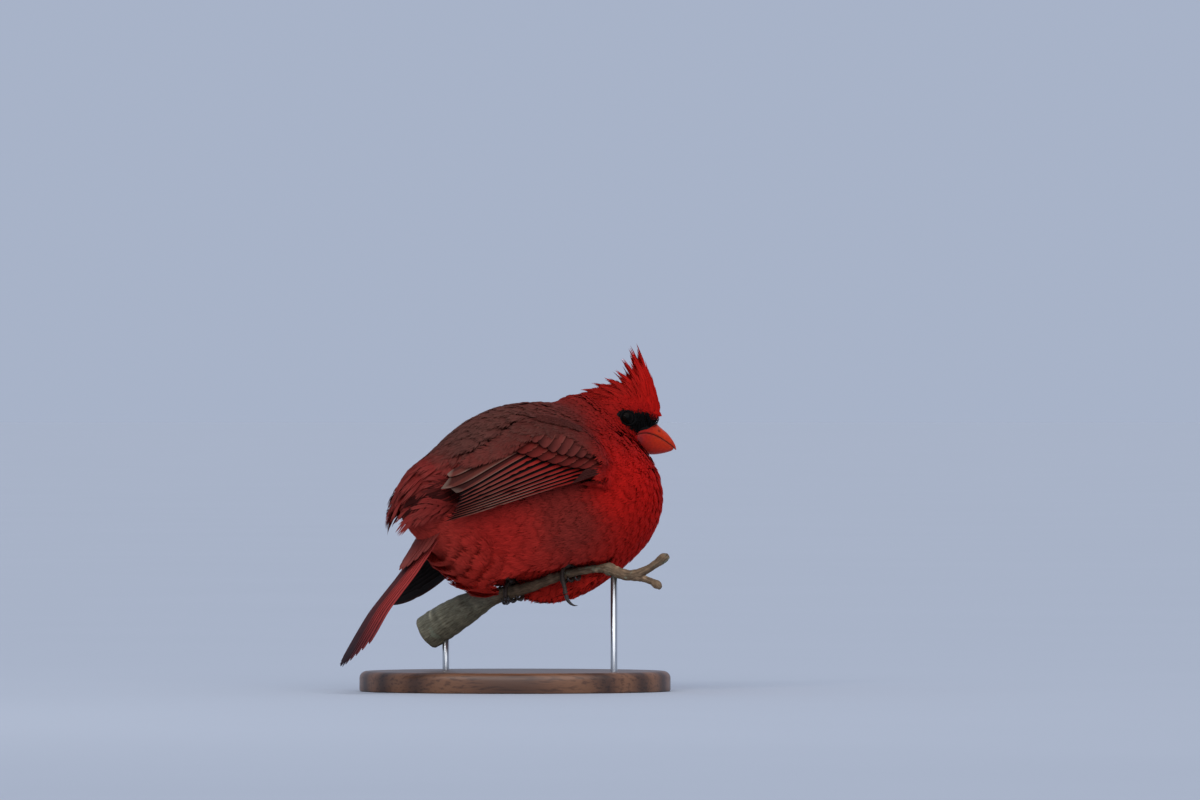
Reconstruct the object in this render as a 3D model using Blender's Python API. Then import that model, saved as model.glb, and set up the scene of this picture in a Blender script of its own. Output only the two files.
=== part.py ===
"""A male northern cardinal at life size, fluffed against the cold on a short cut twig.

The twig is held over a flat oval base by two short rods. Units are metres and +Z is up. The
origin is the middle of the base's underside, on the floor. The bird has a frame of its own,
with a forward, b to its left and c up, which BODY_YAW turns into the world.
"""

import math

import bmesh
import bpy
import numpy as np
from mathutils import Matrix, Vector

MM = 0.001

# The gap that neighbouring pieces keep
GAP = 0.32 * MM

# Where the bird's body stands over the base, and how far it is turned from the +X axis
BODY_CENTRE = Vector((10, 0, 86)) * MM
BODY_YAW = math.radians(32)

# The head looks out of the shoulders, less turned than the body, with the bill lowered
HEAD_CENTRE = Vector((50.9, 25.0, 122.9)) * MM
HEAD_YAW = math.radians(14)
HEAD_PITCH = math.radians(-22)

# Lobes of plumage that make up the body: centre and half size along a, b and c, in mm
BODY_LOBES = (
    ((-2, 0, 2), (54, 36.5, 42)),
    ((20, 0, 1), (40, 37.5, 35.5)),
    ((2, 1, -12), (41, 37, 34.5)),
    ((-28, 0, -1), (33, 26, 28)),
    ((-40, 0, 0), (30, 18, 22)),
    ((-18, 0, -13.5), (30, 25, 30)),
)
NECK_CENTRE = (27, 0, 26)
NECK_LOBES = (
    ((0, 0, 0), (18, 17, 17.5)),
    ((-6, 0, 5.5), (14.5, 13.5, 16)),
)
HEAD_LOBES = (
    ((-1, 0, 0.5), (15, 12.6, 13)),
    ((5, 0, -3), (10.5, 9.6, 9.5)),
    ((-6, 0, -2), (13, 12.2, 12)),
)


def turned(yaw, pitch=0.0):
    """The rotation of a frame that looks along +X: pitched up, then turned about +Z."""
    return Matrix.Rotation(yaw, 3, "Z") @ Matrix.Rotation(-pitch, 3, "Y")


BODY_TURN = turned(BODY_YAW)
HEAD_TURN = turned(HEAD_YAW, HEAD_PITCH)


def body_point(a, b, c):
    """A point of the body's frame, given in mm, in the world."""
    return BODY_CENTRE + BODY_TURN @ (Vector((a, b, c)) * MM)


def head_point(f, l, u):
    """A point of the head's frame, given in mm, in the world."""
    return HEAD_CENTRE + HEAD_TURN @ (Vector((f, l, u)) * MM)


def clear_scene():
    """Removes the objects that a new file starts with."""
    for obj in list(bpy.data.objects):
        bpy.data.objects.remove(obj, do_unlink=True)


def collection(name):
    """A new collection in the scene."""
    made = bpy.data.collections.new(name)
    bpy.context.scene.collection.children.link(made)
    return made


clear_scene()
BIRD = collection("cardinal")
HELPERS = collection("cutters")


def material(name, colour, roughness, metallic=0.0):
    """A Principled material of one colour."""
    made = bpy.data.materials.new(name)
    made.use_nodes = True
    shader = made.node_tree.nodes["Principled BSDF"]
    shader.inputs["Base Color"].default_value = (*colour, 1.0)
    shader.inputs["Roughness"].default_value = roughness
    shader.inputs["Metallic"].default_value = metallic
    made.diffuse_color = (*colour, 1.0)
    return made


RED = material("red_plumage", (0.42, 0.02, 0.015), 0.8)
BROWN_RED = material("brown_red_vanes", (0.16, 0.04, 0.03), 0.7)
TAIL_RED = material("tail_vanes", (0.24, 0.06, 0.045), 0.7)
CORAL = material("bill_horn", (0.62, 0.12, 0.04), 0.35)
BLACK_EYE = material("eye", (0.01, 0.008, 0.006), 0.08)
SCALED_SKIN = material("leg_skin", (0.09, 0.05, 0.04), 0.6)
CLAW_HORN = material("claw_horn", (0.05, 0.035, 0.03), 0.4)
BARK = material("bark", (0.13, 0.13, 0.09), 0.9)
WALNUT = material("base_wood", (0.16, 0.08, 0.045), 0.45)
STEEL = material("rod_steel", (0.6, 0.6, 0.6), 0.3, 1.0)


def place_in(into, obj):
    """Puts an object in a collection. A cutter is kept out of renders and drawn as wire."""
    into.objects.link(obj)
    if into is HELPERS:
        obj.hide_render = True
        obj.display_type = "WIRE"
    return obj


def mesh_object(name, points, faces, into=BIRD):
    """A mesh object whose points are already in the world."""
    mesh = bpy.data.meshes.new(name)
    mesh.from_pydata([tuple(p) for p in points], [], [tuple(f) for f in faces])
    work = bmesh.new()
    work.from_mesh(mesh)
    bmesh.ops.recalc_face_normals(work, faces=work.faces)
    work.to_mesh(mesh)
    work.free()
    return place_in(into, bpy.data.objects.new(name, mesh))


def finish(obj, mat):
    """Gives a solid its material and smooth shading with sharp edges kept."""
    obj.data.materials.clear()
    obj.data.materials.append(mat)
    obj.data.shade_smooth()
    obj.data.set_sharp_from_angle(angle=math.radians(40))
    return obj


def settle(obj):
    """Applies the modifiers of a mesh object or turns a curve into a mesh with welded caps."""
    bpy.context.view_layer.update()
    graph = bpy.context.evaluated_depsgraph_get()
    mesh = bpy.data.meshes.new_from_object(obj.evaluated_get(graph))
    if obj.type == "MESH":
        obj.modifiers.clear()
        obj.data = mesh
        return obj
    made = bpy.data.objects.new(obj.name + "_mesh", mesh)
    made.matrix_world = obj.matrix_world
    place_in(obj.users_collection[0], made)
    weld = made.modifiers.new("weld", "WELD")
    weld.merge_threshold = 0.01 * MM
    bpy.data.objects.remove(obj, do_unlink=True)
    return settle(made)


def boolean(host, guests, operation, solver="EXACT"):
    """Cuts the guests from the host, or joins them to it, and removes them.

    Forms with many crossing vanes go through the MANIFOLD solver, which is quick with them and
    leaves no edge that three faces share.
    """
    tray = collection("tray")
    for guest in guests:
        for held in list(guest.users_collection):
            held.objects.unlink(guest)
        tray.objects.link(guest)
    modifier = host.modifiers.new(operation.lower(), "BOOLEAN")
    modifier.operation = operation
    modifier.operand_type = "COLLECTION"
    modifier.collection = tray
    modifier.solver = solver
    settle(host)
    for guest in guests:
        bpy.data.objects.remove(guest, do_unlink=True)
    bpy.data.collections.remove(tray)
    return host


def keep_largest(obj):
    """Keeps only the largest closed surface of a mesh, by the volume that it bounds."""
    mesh = obj.data
    count = len(mesh.vertices)
    points = np.empty(count * 3)
    mesh.vertices.foreach_get("co", points)
    points = points.reshape(-1, 3)
    mesh.calc_loop_triangles()
    faces = np.empty(len(mesh.loop_triangles) * 3, np.int32)
    mesh.loop_triangles.foreach_get("vertices", faces)
    faces = faces.reshape(-1, 3)
    label = np.arange(count)
    while True:
        lowest = label[faces].min(axis=1)
        spread = label.copy()
        np.minimum.at(spread, faces.ravel(), np.repeat(lowest, 3))
        if (spread == label).all():
            break
        label = spread
    group = label[faces[:, 0]]
    volume = np.linalg.det(points[faces])
    best = max(set(group.tolist()), key=lambda g: volume[group == g].sum())
    kept = faces[group == best]
    used, index = np.unique(kept, return_inverse=True)
    fresh = bpy.data.meshes.new(obj.name)
    fresh.from_pydata(points[used].tolist(), [], index.reshape(-1, 3).tolist())
    obj.data = fresh
    return obj


def inflated(obj):
    """A copy of a closed object, grown outwards by the gap, to cut with."""
    copy = bpy.data.objects.new(obj.name + "_grown", obj.data.copy())
    copy.matrix_world = obj.matrix_world
    place_in(HELPERS, copy)
    grow = copy.modifiers.new("grow", "DISPLACE")
    grow.mid_level = 0.0
    grow.strength = GAP
    return settle(copy)


def seat(host, *guests, solver="EXACT"):
    """Cuts a seat in the host for each guest, so that they meet with the gap between them."""
    for guest in guests:
        boolean(host, [inflated(guest)], "DIFFERENCE", solver)
    return keep_largest(host)


def lobed_reach(directions, lobes):
    """How far a form reaches along each direction: the smooth maximum of its lobes.

    A lobe is an ellipsoid round the form's centre. Its reach is where the ray leaves it, and
    the reaches are blended as a power mean whose high power keeps close to the farthest.
    """
    power = 16.0
    total = np.zeros(len(directions))
    for centre, half in lobes:
        ray = directions / np.array(half, float)
        start = np.array(centre, float) / np.array(half, float)
        along = ray @ start
        square = (ray**2).sum(axis=1)
        depth = np.sqrt(np.maximum(along**2 - square * (start @ start - 1), 0))
        total += ((along + depth) / square) ** power
    return total ** (1 / power)


def lobed_form(name, centre, turn, lobes, around, rings, into=BIRD):
    """A closed form round a centre, with its poles fore and aft, from its lobes."""
    polar = np.linspace(0, math.pi, rings + 1)[1:-1]
    angle = np.arange(around) * 2 * math.pi / around
    grid = np.stack(
        [
            np.repeat(np.cos(polar), around),
            np.outer(np.sin(polar), np.sin(angle)).ravel(),
            np.outer(np.sin(polar), np.cos(angle)).ravel(),
        ],
        axis=1,
    )
    directions = np.vstack([[1.0, 0.0, 0.0], grid, [-1.0, 0.0, 0.0]])
    local = directions * lobed_reach(directions, lobes)[:, None] * MM
    points = local @ np.array(turn).T + np.array(centre)
    last = len(points) - 1
    faces = []
    for i in range(around):
        j = (i + 1) % around
        faces.append((0, 1 + j, 1 + i))
        for r in range(rings - 2):
            low = 1 + r * around
            high = low + around
            faces.append((low + i, low + j, high + j, high + i))
        low = 1 + (rings - 2) * around
        faces.append((low + i, low + j, last))
    return mesh_object(name, points, faces, into)


def tube(name, points, radii, sides=8, into=BIRD):
    """A round tube through world points, with a radius at each point, as a welded mesh."""
    curve = bpy.data.curves.new(name, "CURVE")
    curve.dimensions = "3D"
    curve.bevel_depth = 1.0
    curve.bevel_resolution = sides // 2 - 2
    curve.use_fill_caps = True
    curve.twist_mode = "MINIMUM"
    spline = curve.splines.new("POLY")
    spline.points.add(len(points) - 1)
    for slot, point, radius in zip(spline.points, points, radii):
        slot.co = (*point, 1.0)
        slot.radius = radius
    made = settle(place_in(into, bpy.data.objects.new(name, curve)))
    made.name = name
    return made


def smooth_line(knots, count):
    """Points along a smooth line through the knots, evenly spread over the knots' number."""
    knots = np.array([tuple(k) for k in knots], float)
    padded = np.vstack([2 * knots[0] - knots[1], knots, 2 * knots[-1] - knots[-2]])
    place = np.linspace(0, len(knots) - 1, count)
    index = np.minimum(place.astype(int), len(knots) - 2)
    t = (place - index)[:, None]
    p0, p1, p2, p3 = (padded[index + k] for k in range(4))
    bend = 2 * p0 - 5 * p1 + 4 * p2 - p3
    return 0.5 * (2 * p1 + (p2 - p0) * t + bend * t**2 + (3 * p1 - p0 - 3 * p2 + p3) * t**3)


def sheet_solid(name, grid, thickness, into=BIRD):
    """A closed thin solid round a grid of points, split into triangles alike on both faces.

    grid has the stations along it first, then the points across. The two faces lie half the
    thickness to each side of it, along the grid's own normals.
    """
    along = np.gradient(grid, axis=0)
    across = np.gradient(grid, axis=1)
    normal = np.cross(along, across)
    normal /= np.linalg.norm(normal, axis=2, keepdims=True) + 1e-12
    half = np.broadcast_to(np.asarray(thickness, float), grid.shape[:1]) / 2
    top = grid + normal * half[:, None, None]
    low = grid - normal * half[:, None, None]
    rows, columns = grid.shape[:2]
    count = rows * columns
    index = np.arange(count).reshape(rows, columns)
    faces = []
    for i in range(rows - 1):
        for j in range(columns - 1):
            p, q, r, s = index[i, j], index[i + 1, j], index[i + 1, j + 1], index[i, j + 1]
            faces += [(p, q, r), (p, r, s)]
            faces += [(p + count, r + count, q + count), (p + count, s + count, r + count)]
    rim = [*index[0, :], *index[1:, -1], *index[-1, -2::-1], *index[-2:0:-1, 0]]
    for p, q in zip(rim, [*rim[1:], rim[0]]):
        faces += [(p, q, q + count), (p, q + count, p + count)]
    points = np.vstack([top.reshape(-1, 3), low.reshape(-1, 3)])
    return mesh_object(name, points, faces, into)


# The wing lies over an oval side of the body. A point of it is told by a and c, in mm, and by
# how far it stands off that side, its level.
WING_SIDE_CENTRE = (-2, 0, -4)
WING_SIDE_HALF = (69, 42, 50)

# Flight feathers from the topmost tertial to the outermost primary: roots and tips on (a, c)
FLIGHT_ROOTS = (
    (-15, 31), (-12.3, 30), (-9, 28.7), (-5.2, 27.2), (-0.9, 25.5), (3.5, 23.8),
    (8, 22), (12, 20.2), (15, 18.6), (16.4, 16.8), (16.4, 14.9), (15.4, 13),
)
FLIGHT_TIPS = (
    (-59.4, 13), (-62.2, 5.5), (-57.2, 3.6), (-56.4, 2), (-56.8, 0.4), (-57.5, -1.2),
    (-58, -2.8), (-58.5, -4.2), (-59.1, -5.4), (-59.8, -6.6), (-60.5, -7.8), (-61.1, -9),
)

# The coverts lie over their roots in two tiers, numbered from the elbow to the wrist
GREATER_ROOTS = ((-16, 33), (-9.2, 30.2), (-2.6, 27.2), (4, 24.2), (10.6, 21.3), (17, 18.4))
GREATER_TIPS = ((-36.5, 20), (-29, 17), (-21, 14.5), (-13, 12.6), (-5, 11.6), (3.2, 11.8))
MEDIAN_ROOTS = ((-12, 35.5), (-6.4, 33.2), (-0.8, 30.8), (4.8, 28.2), (10.4, 25.3), (15.6, 22))
MEDIAN_TIPS = ((-25.5, 26.5), (-19, 23.6), (-12.5, 21), (-5.8, 18.8), (1, 16.6), (7.9, 14.4))

# The far wing hangs lower and a little farther back than the near one
FAR_WING_DROOP = math.radians(18)
FAR_WING_SHIFT = (-7.5, -16)
FAR_WING_SAG = -6.0
WRIST = (16, 16)


def side_width(a, c):
    """Half the width of the oval side under the wings, in mm, at a and c."""
    ca, _, cc = WING_SIDE_CENTRE
    ha, hb, hc = WING_SIDE_HALF
    return hb * np.sqrt(np.maximum(1 - ((a - ca) / ha) ** 2 - ((c - cc) / hc) ** 2, 0.05))


def wing_point(side, place, level):
    """World points of a wing's side of the body, for arrays of (a, c) in mm and of levels.

    The far wing is turned down about its wrist, moved by its shift and held a little wider.
    """
    a, c = place[..., 0], place[..., 1]
    b = side_width(a, c)
    if side > 0:
        b = side_width(0.8 * a, c)
        cos, sin = math.cos(FAR_WING_DROOP), math.sin(FAR_WING_DROOP)
        da, dc = a - WRIST[0], c - WRIST[1]
        a = WRIST[0] + da * cos - dc * sin + FAR_WING_SHIFT[0]
        c = WRIST[1] + da * sin + dc * cos + FAR_WING_SHIFT[1]
        b = np.maximum(b, side_width(a, c))
    ca, _, cc = WING_SIDE_CENTRE
    ha, hb, hc = WING_SIDE_HALF
    normal = np.stack([(a - ca) / ha**2, b / hb**2, (c - cc) / hc**2], axis=-1)
    normal /= np.linalg.norm(normal, axis=-1, keepdims=True)
    local = np.stack([a, b, c], axis=-1) + normal * np.asarray(level)[..., None]
    local[..., 1] *= side
    return local * MM @ np.array(BODY_TURN).T + np.array(BODY_CENTRE)


def along_row(ends, k):
    """Points of a row of roots or tips at feather numbers k, run on past the row's ends."""
    ends = np.array(ends, float)
    last = len(ends) - 1
    base = np.clip(np.floor(k).astype(int), 0, last - 1)
    t = (k - base)[..., None]
    return ends[base] * (1 - t) + ends[base + 1] * t


def fan_place(roots, tips, k, s, bow):
    """Where feather number k is at share s of its length: a line from root to tip that bows."""
    root = along_row(roots, k)
    tip = along_row(tips, k)
    s = s[..., None]
    rise = 4 * s * (1 - s) * bow
    return root * (1 - s) + tip * s + rise * np.array([0.15, 1.0])


def vane_width(s, tip_share, least=0.12):
    """A vane's width along its length: full, then rounded off to a narrow tip."""
    end = np.clip((s - (1 - tip_share)) / tip_share, 0, 1)
    return np.maximum(np.sqrt(1 - end**2), least)


def wing_vanes(side, roots, tips, level, step, sink, inner, outer, bow, stations):
    """The vanes of one tier of a wing, each tucked under the one above it like a roof tile.

    A vane spans from inner numbers above its own to outer numbers below it, and rises by step
    for each number towards its lower edge, so that neighbours never meet. Its root sinks into
    the arm.
    """
    made = []
    s = np.linspace(0, 1, stations) ** 0.9
    for number in range(len(roots)):
        width = vane_width(s, 0.3, 0.1)
        k = number + width[:, None] * np.array([-inner, outer])[None, :]
        along = s[:, None] * np.ones_like(k)
        place = fan_place(roots, tips, k, along, bow)
        lift = level + step * (k - number) - sink * np.maximum(1 - along / 0.3, 0)
        grid = wing_point(side, place, lift)
        if side > 0:
            grid = grid[:, ::-1]
        made.append(sheet_solid("vane", grid, 0.55 * MM, HELPERS))
    return made


def wing_arm(name, side, into=BIRD):
    """The folded arm under the coverts: a flat pillow from elbow to wrist."""
    polar = np.linspace(0, math.pi, 9)[1:-1]
    angle = np.arange(14) * 2 * math.pi / 14
    x = np.concatenate([[1.0], np.repeat(np.cos(polar), 14), [-1.0]])
    y = np.concatenate([[0.0], np.outer(np.sin(polar), np.cos(angle)).ravel(), [0.0]])
    z = np.concatenate([[0.0], np.outer(np.sin(polar), np.sin(angle)).ravel(), [0.0]])
    centre = np.array([1.0, 25.5])
    long_axis = np.array([21.5, -9.5])
    short_axis = np.array([4.2, 8.2])
    place = centre + x[:, None] * long_axis + y[:, None] * short_axis
    points = wing_point(side, place, 0.6 + 3.6 * z)
    last = len(points) - 1
    faces = []
    for i in range(14):
        j = (i + 1) % 14
        faces.append((0, 1 + i, 1 + j))
        for r in range(6):
            low, high = 1 + r * 14, 15 + r * 14
            faces.append((low + i, high + i, high + j, low + j))
        faces.append((last, 85 + j, 85 + i))
    return mesh_object(name, points, faces, into)


def flight_tips(side):
    """The tips of a wing's flight feathers. The far wing's topmost ones lie tucked forward."""
    tips = np.array(FLIGHT_TIPS, float)
    if side > 0:
        number = np.arange(len(tips))
        tips[:, 0] += 18 * np.maximum(1 - number / 7, 0) - 0.2 * number
    return tips


def make_wing(name, side):
    """A folded wing: the arm, the fan of flight feathers and two tiers of coverts over it."""
    bow = FAR_WING_SAG if side > 0 else 1.5
    wing = wing_arm(name, side)
    vanes = wing_vanes(side, FLIGHT_ROOTS, flight_tips(side), 0.2, 0.85, 1.0, 1.6, 0.65, bow, 6)
    vanes += wing_vanes(side, GREATER_ROOTS, GREATER_TIPS, 2.5, 0.6, 1.4, 0.9, 0.6, 0.6, 5)
    vanes += wing_vanes(side, MEDIAN_ROOTS, MEDIAN_TIPS, 4.1, 0.5, 2.6, 0.9, 0.6, 0.3, 4)
    boolean(wing, vanes, "UNION", "MANIFOLD")
    return keep_largest(wing)


# The tail runs down its own line in the body's plane of symmetry, in mm along a and c
TAIL_LINE = (
    (-32, 6), (-44.5, -1.5), (-53.5, -11.5), (-62, -23), (-69.5, -32.2),
    (-77.5, -40.8), (-84.5, -48.6), (-90.5, -57), (-96.3, -65.3), (-102.5, -73.5),
)
TAIL_HALF_WIDTH = (5, 6.5, 7.8, 8.8, 9.6, 10.4, 11.2, 12, 12.4, 12.6)
TAIL_ROLL = math.radians(-8)


def tail_point(s, w, level):
    """World points of the tail: share s of its length, w mm to its left, level mm above it."""
    line = smooth_line([(a, 0, c) for a, c in TAIL_LINE], 121)
    knots = np.linspace(0, 1, 121)
    a = np.interp(s, knots, line[:, 0])
    c = np.interp(s, knots, line[:, 2])
    slope = np.gradient(line, axis=0)
    da = np.interp(s, knots, slope[:, 0])
    dc = np.interp(s, knots, slope[:, 2])
    size = np.hypot(da, dc)
    left = w * math.cos(TAIL_ROLL)
    rise = level - 0.016 * w**2 + w * math.sin(TAIL_ROLL)
    local = np.stack([a + dc / size * rise, left, c - da / size * rise], axis=-1)
    return local * MM @ np.array(BODY_TURN).T + np.array(BODY_CENTRE)


def tail_vanes(count, start, end, shorter, half, level, step, stations):
    """A tier of tail feathers, count to each side, the middle pair uppermost.

    Feather number i of a side spans from beneath the one inside it to just over the one
    outside it. half holds half the tier's width at its root and at its tips, in mm.
    """
    made = []
    for side in (1, -1):
        for number in range(count):
            length = end - shorter * (number / max(count - 1, 1)) ** 1.5
            share = np.linspace(0, 1, stations) ** 0.9
            s = (start + (length - start) * share)[:, None]
            width = vane_width(share, 0.14, 0.12)[:, None]
            inner = 0.8 if number == 0 else 1.5
            k = number + width * np.array([-inner, 0.6])[None, :]
            pitch = (half[0] + (half[1] - half[0]) * share)[:, None] / count
            w = side * (k + 0.4) * pitch
            lift = level + step * (k - number) + 0.2 * side
            grid = tail_point(s * np.ones_like(k), w, lift)
            if side > 0:
                grid = grid[:, ::-1]
            made.append(sheet_solid("vane", grid, 0.55 * MM, HELPERS))
    return made


def make_tail(name):
    """The tail: its fleshy root, twelve long feathers and the coverts above and below."""
    s = np.linspace(0, 0.3, 6)[:, None]
    w = np.array([6.5, 7, 7.2, 6.8, 5.8, 4.0])[:, None] * np.linspace(-1, 1, 5)[None, :]
    thickness = np.array([6, 6, 5.5, 4.5, 3, 1.2]) * MM
    grid = tail_point(s * np.ones_like(w), w, np.full(w.shape, -0.4))
    tail = sheet_solid(name, grid, thickness)
    vanes = tail_vanes(6, 0.1, 1.0, 0.14, (8.5, 12.4), 0.0, 0.8, 6)
    vanes += tail_vanes(4, 0.04, 0.47, 0.1, (10, 11), 2.3, 0.6, 5)
    vanes += tail_vanes(3, 0.04, 0.44, 0.08, (8, 8), -2.3, -0.6, 5)
    boolean(tail, vanes, "UNION", "MANIFOLD")
    return keep_largest(tail)


# Loose plumes of the rump hang over the root of the tail in tiers. Each tier is told by its roots'
# and its tips' middle (a, c), by how wide and high the arc through them is, in mm, and by its
# plumes' angles on that arc, in degrees from straight up.
PLUME_TIERS = (
    ((-43, 0), (16.5, 19.5), (-65, 2), (11, 11), (-75, -45, -15, 15, 45, 75)),
    ((-50, 0), (15.5, 18), (-72.5, -7), (8, 10.5), (-90, -60, -30, 0, 30, 60, 90)),
    ((-56, -3), (12, 15), (-75, -15), (6.5, 9), (-98, -70, -42, -14, 14, 42, 70, 98)),
)


def rump_plumes():
    """The plumes: broad soft feathers that bow outwards and narrow to their tips."""
    made = []
    share = np.array([0, 0.4, 0.75, 1.0])
    for (ra, rc), (rb, rh), (ta, tc), (tb, th), angles in PLUME_TIERS:
        for angle in angles:
            across, high = math.sin(math.radians(angle)), math.cos(math.radians(angle))
            root = np.array([ra, rb * across, rc + rh * high])
            tip = np.array([ta + 7 * (1 - high), tb * across, tc + th * high])
            bow = np.array([-0.7, across, high]) * 3.4
            edge = np.array([0, high, -across]) * 4.8
            t = share[:, None]
            line = root * (1 - t) + tip * t + 4 * t * (1 - t) * bow
            width = vane_width(share, 0.6, 0.1)[:, None]
            grid = np.stack([line - edge * width, line + edge * width], axis=1)
            grid = grid @ np.array(BODY_TURN).T * MM + np.array(BODY_CENTRE)
            made.append(sheet_solid("plume", grid, 0.6 * MM, HELPERS))
    return made


# The bill in the head's frame, in mm: its ridge, the line of the mouth and its lower edge
BILL_RIDGE = (
    (8, 2.6), (13, 2.4), (14.8, 1.8), (17.5, 1.0), (19.8, 0.2), (23, -1.6), (25.1, -3.3),
    (26.3, -4.8),
)
BILL_MOUTH = (
    (8, -7.0), (10.5, -5.6), (12.5, -4.2), (14.5, -3.7), (18.7, -4.1), (24, -4.7), (26.5, -5.7),
)
BILL_KEEL = (
    (8, -12.2), (13, -12), (16, -11.4), (18.6, -10.3), (22, -8.2), (24.6, -6.1), (25.4, -5.3),
)
BILL_HALF_WIDTH = (
    (8, 5.9), (13, 5.7), (16, 5.2), (19, 4.3), (22, 3.0), (24.6, 1.5), (26.3, 0.35),
)
UPPER_STATIONS = (8.5, 10.5, 12.5, 14.5, 16.5, 18.7, 21, 23, 24.6, 25.6, 26.3)
LOWER_STATIONS = (8.5, 10.5, 12.5, 14.5, 16.5, 18.7, 21, 23, 24.2, 24.9)


def bill_half(name, edge, stations, gap):
    """One mandible: half ovals from the mouth's line to the ridge or the keel, closed flat."""
    f = np.array(stations, float)
    mouth = np.interp(f, *np.array(BILL_MOUTH).T) + gap
    rim = np.interp(f, *np.array(edge).T)
    half = np.interp(f, *np.array(BILL_HALF_WIDTH).T)
    angle = np.linspace(0, math.pi, 9)
    rows = []
    for x, low, high, wide in zip(f, mouth, rim, half):
        arch = np.stack(
            [np.full(9, x), wide * np.cos(angle), low + (high - low) * np.sin(angle) ** 0.85],
            axis=1,
        )
        rows.append(arch)
    grid = np.array(rows)
    points = [head_point(*p) for p in grid.reshape(-1, 3)]
    faces = []
    for i in range(len(f) - 1):
        for j in range(8):
            p = i * 9 + j
            faces.append((p, p + 1, p + 10, p + 9))
        faces.append((i * 9 + 8, i * 9, i * 9 + 9, i * 9 + 17))
    faces.append(tuple(range(9)))
    faces.append(tuple(range(len(points) - 9, len(points))))
    return mesh_object(name, points, faces)


def ball(name, centre, turn, half, around=16, rings=10, into=BIRD):
    """An ellipsoid with its half sizes, in mm, along the axes of a frame."""
    return lobed_form(name, centre, turn, (((0, 0, 0), half),), around, rings, into)


EYE_PLACE = (-3.0, 9.6, -1.2)
EYE_RADIUS = 4.1
LID_RADIUS = 3.7


def lid_ring(name, side):
    """The raised ring of the eyelids round an eye, a little taller in front."""
    f, l, u = EYE_PLACE
    around = np.arange(16) * 2 * math.pi / 16
    tube_angle = np.arange(6) * 2 * math.pi / 6
    points = []
    for t in around:
        for v in tube_angle:
            reach = LID_RADIUS + 0.75 * math.cos(v)
            points.append(
                head_point(
                    f + reach * 1.06 * math.cos(t),
                    side * (l + 2.8 + 0.75 * math.sin(v)),
                    u + reach * 0.96 * math.sin(t),
                )
            )
    faces = []
    for i in range(16):
        for j in range(6):
            i2, j2 = (i + 1) % 16, (j + 1) % 6
            faces.append((i * 6 + j, i * 6 + j2, i2 * 6 + j2, i2 * 6 + j))
    return mesh_object(name, points, faces, HELPERS)


# The crest's locks rise from the crown and end along its ragged rear edge. The tips are (f, u)
# in mm, from the foremost lock's to the nape's. A row of locks is told by its place between
# forehead and nape and by how far to the left each lock stands, in mm.
CREST_TIPS = (
    (-11.4, 35.4), (-12.8, 30.4), (-13.2, 24.5), (-14.0, 20.6), (-15.0, 16.8), (-17.0, 12.6),
    (-19.5, 8.6), (-22.5, 4.5),
)
CREST_ROWS = (
    (0.0, (-1.2, 1.4)), (0.12, (-3.0, 0.1, 3.2)), (0.26, (-4.2, -1.4, 1.5, 4.3)),
    (0.4, (-3.4, 0.2, 3.2)), (0.54, (-5.4, -1.9, 1.7, 5.2)), (0.7, (-3.8, 0.1, 3.9)),
    (0.86, (-5.6, -2.0, 2.1, 5.7)),
)


def crown_height(f, l):
    """How high the crown is over the head's centre at f and l, in mm."""
    return 0.5 + 13 * math.sqrt(max(1 - ((f + 1) / 15) ** 2 - (l / 12.6) ** 2, 0.0))


def blade_lock(name, path, wide, thick, into=HELPERS):
    """A flat tapered lock with four sides, along a path in the head's frame that ends at its tip.

    wide is half its width along the head's own up and forward plane and thick half its
    thickness across the head, each with a value for every station but the tip.
    """
    path = np.array(path, float)
    slope = np.gradient(path, axis=0)
    broad = np.cross(slope, [0.0, 1.0, 0.0])
    broad /= np.linalg.norm(broad, axis=1, keepdims=True)
    flat = np.cross(broad, slope)
    flat /= np.linalg.norm(flat, axis=1, keepdims=True)
    points = []
    for p, b, n, w, t in zip(path[:-1], broad, flat, wide, thick):
        points += [p + b * w, p + n * t, p - b * w, p - n * t]
    points.append(path[-1])
    last = len(points) - 1
    faces = [(0, 1, 2), (0, 2, 3)]
    for i in range(len(path) - 2):
        for j in range(4):
            k = (j + 1) % 4
            a, b, c, d = i * 4 + j, i * 4 + k, i * 4 + 4 + k, i * 4 + 4 + j
            faces += [(a, b, c), (a, c, d)]
    faces += [(last - 4 + j, last - 4 + (j + 1) % 4, last) for j in range(4)]
    return mesh_object(name, [head_point(*p) for p in points], faces, into)


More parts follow.
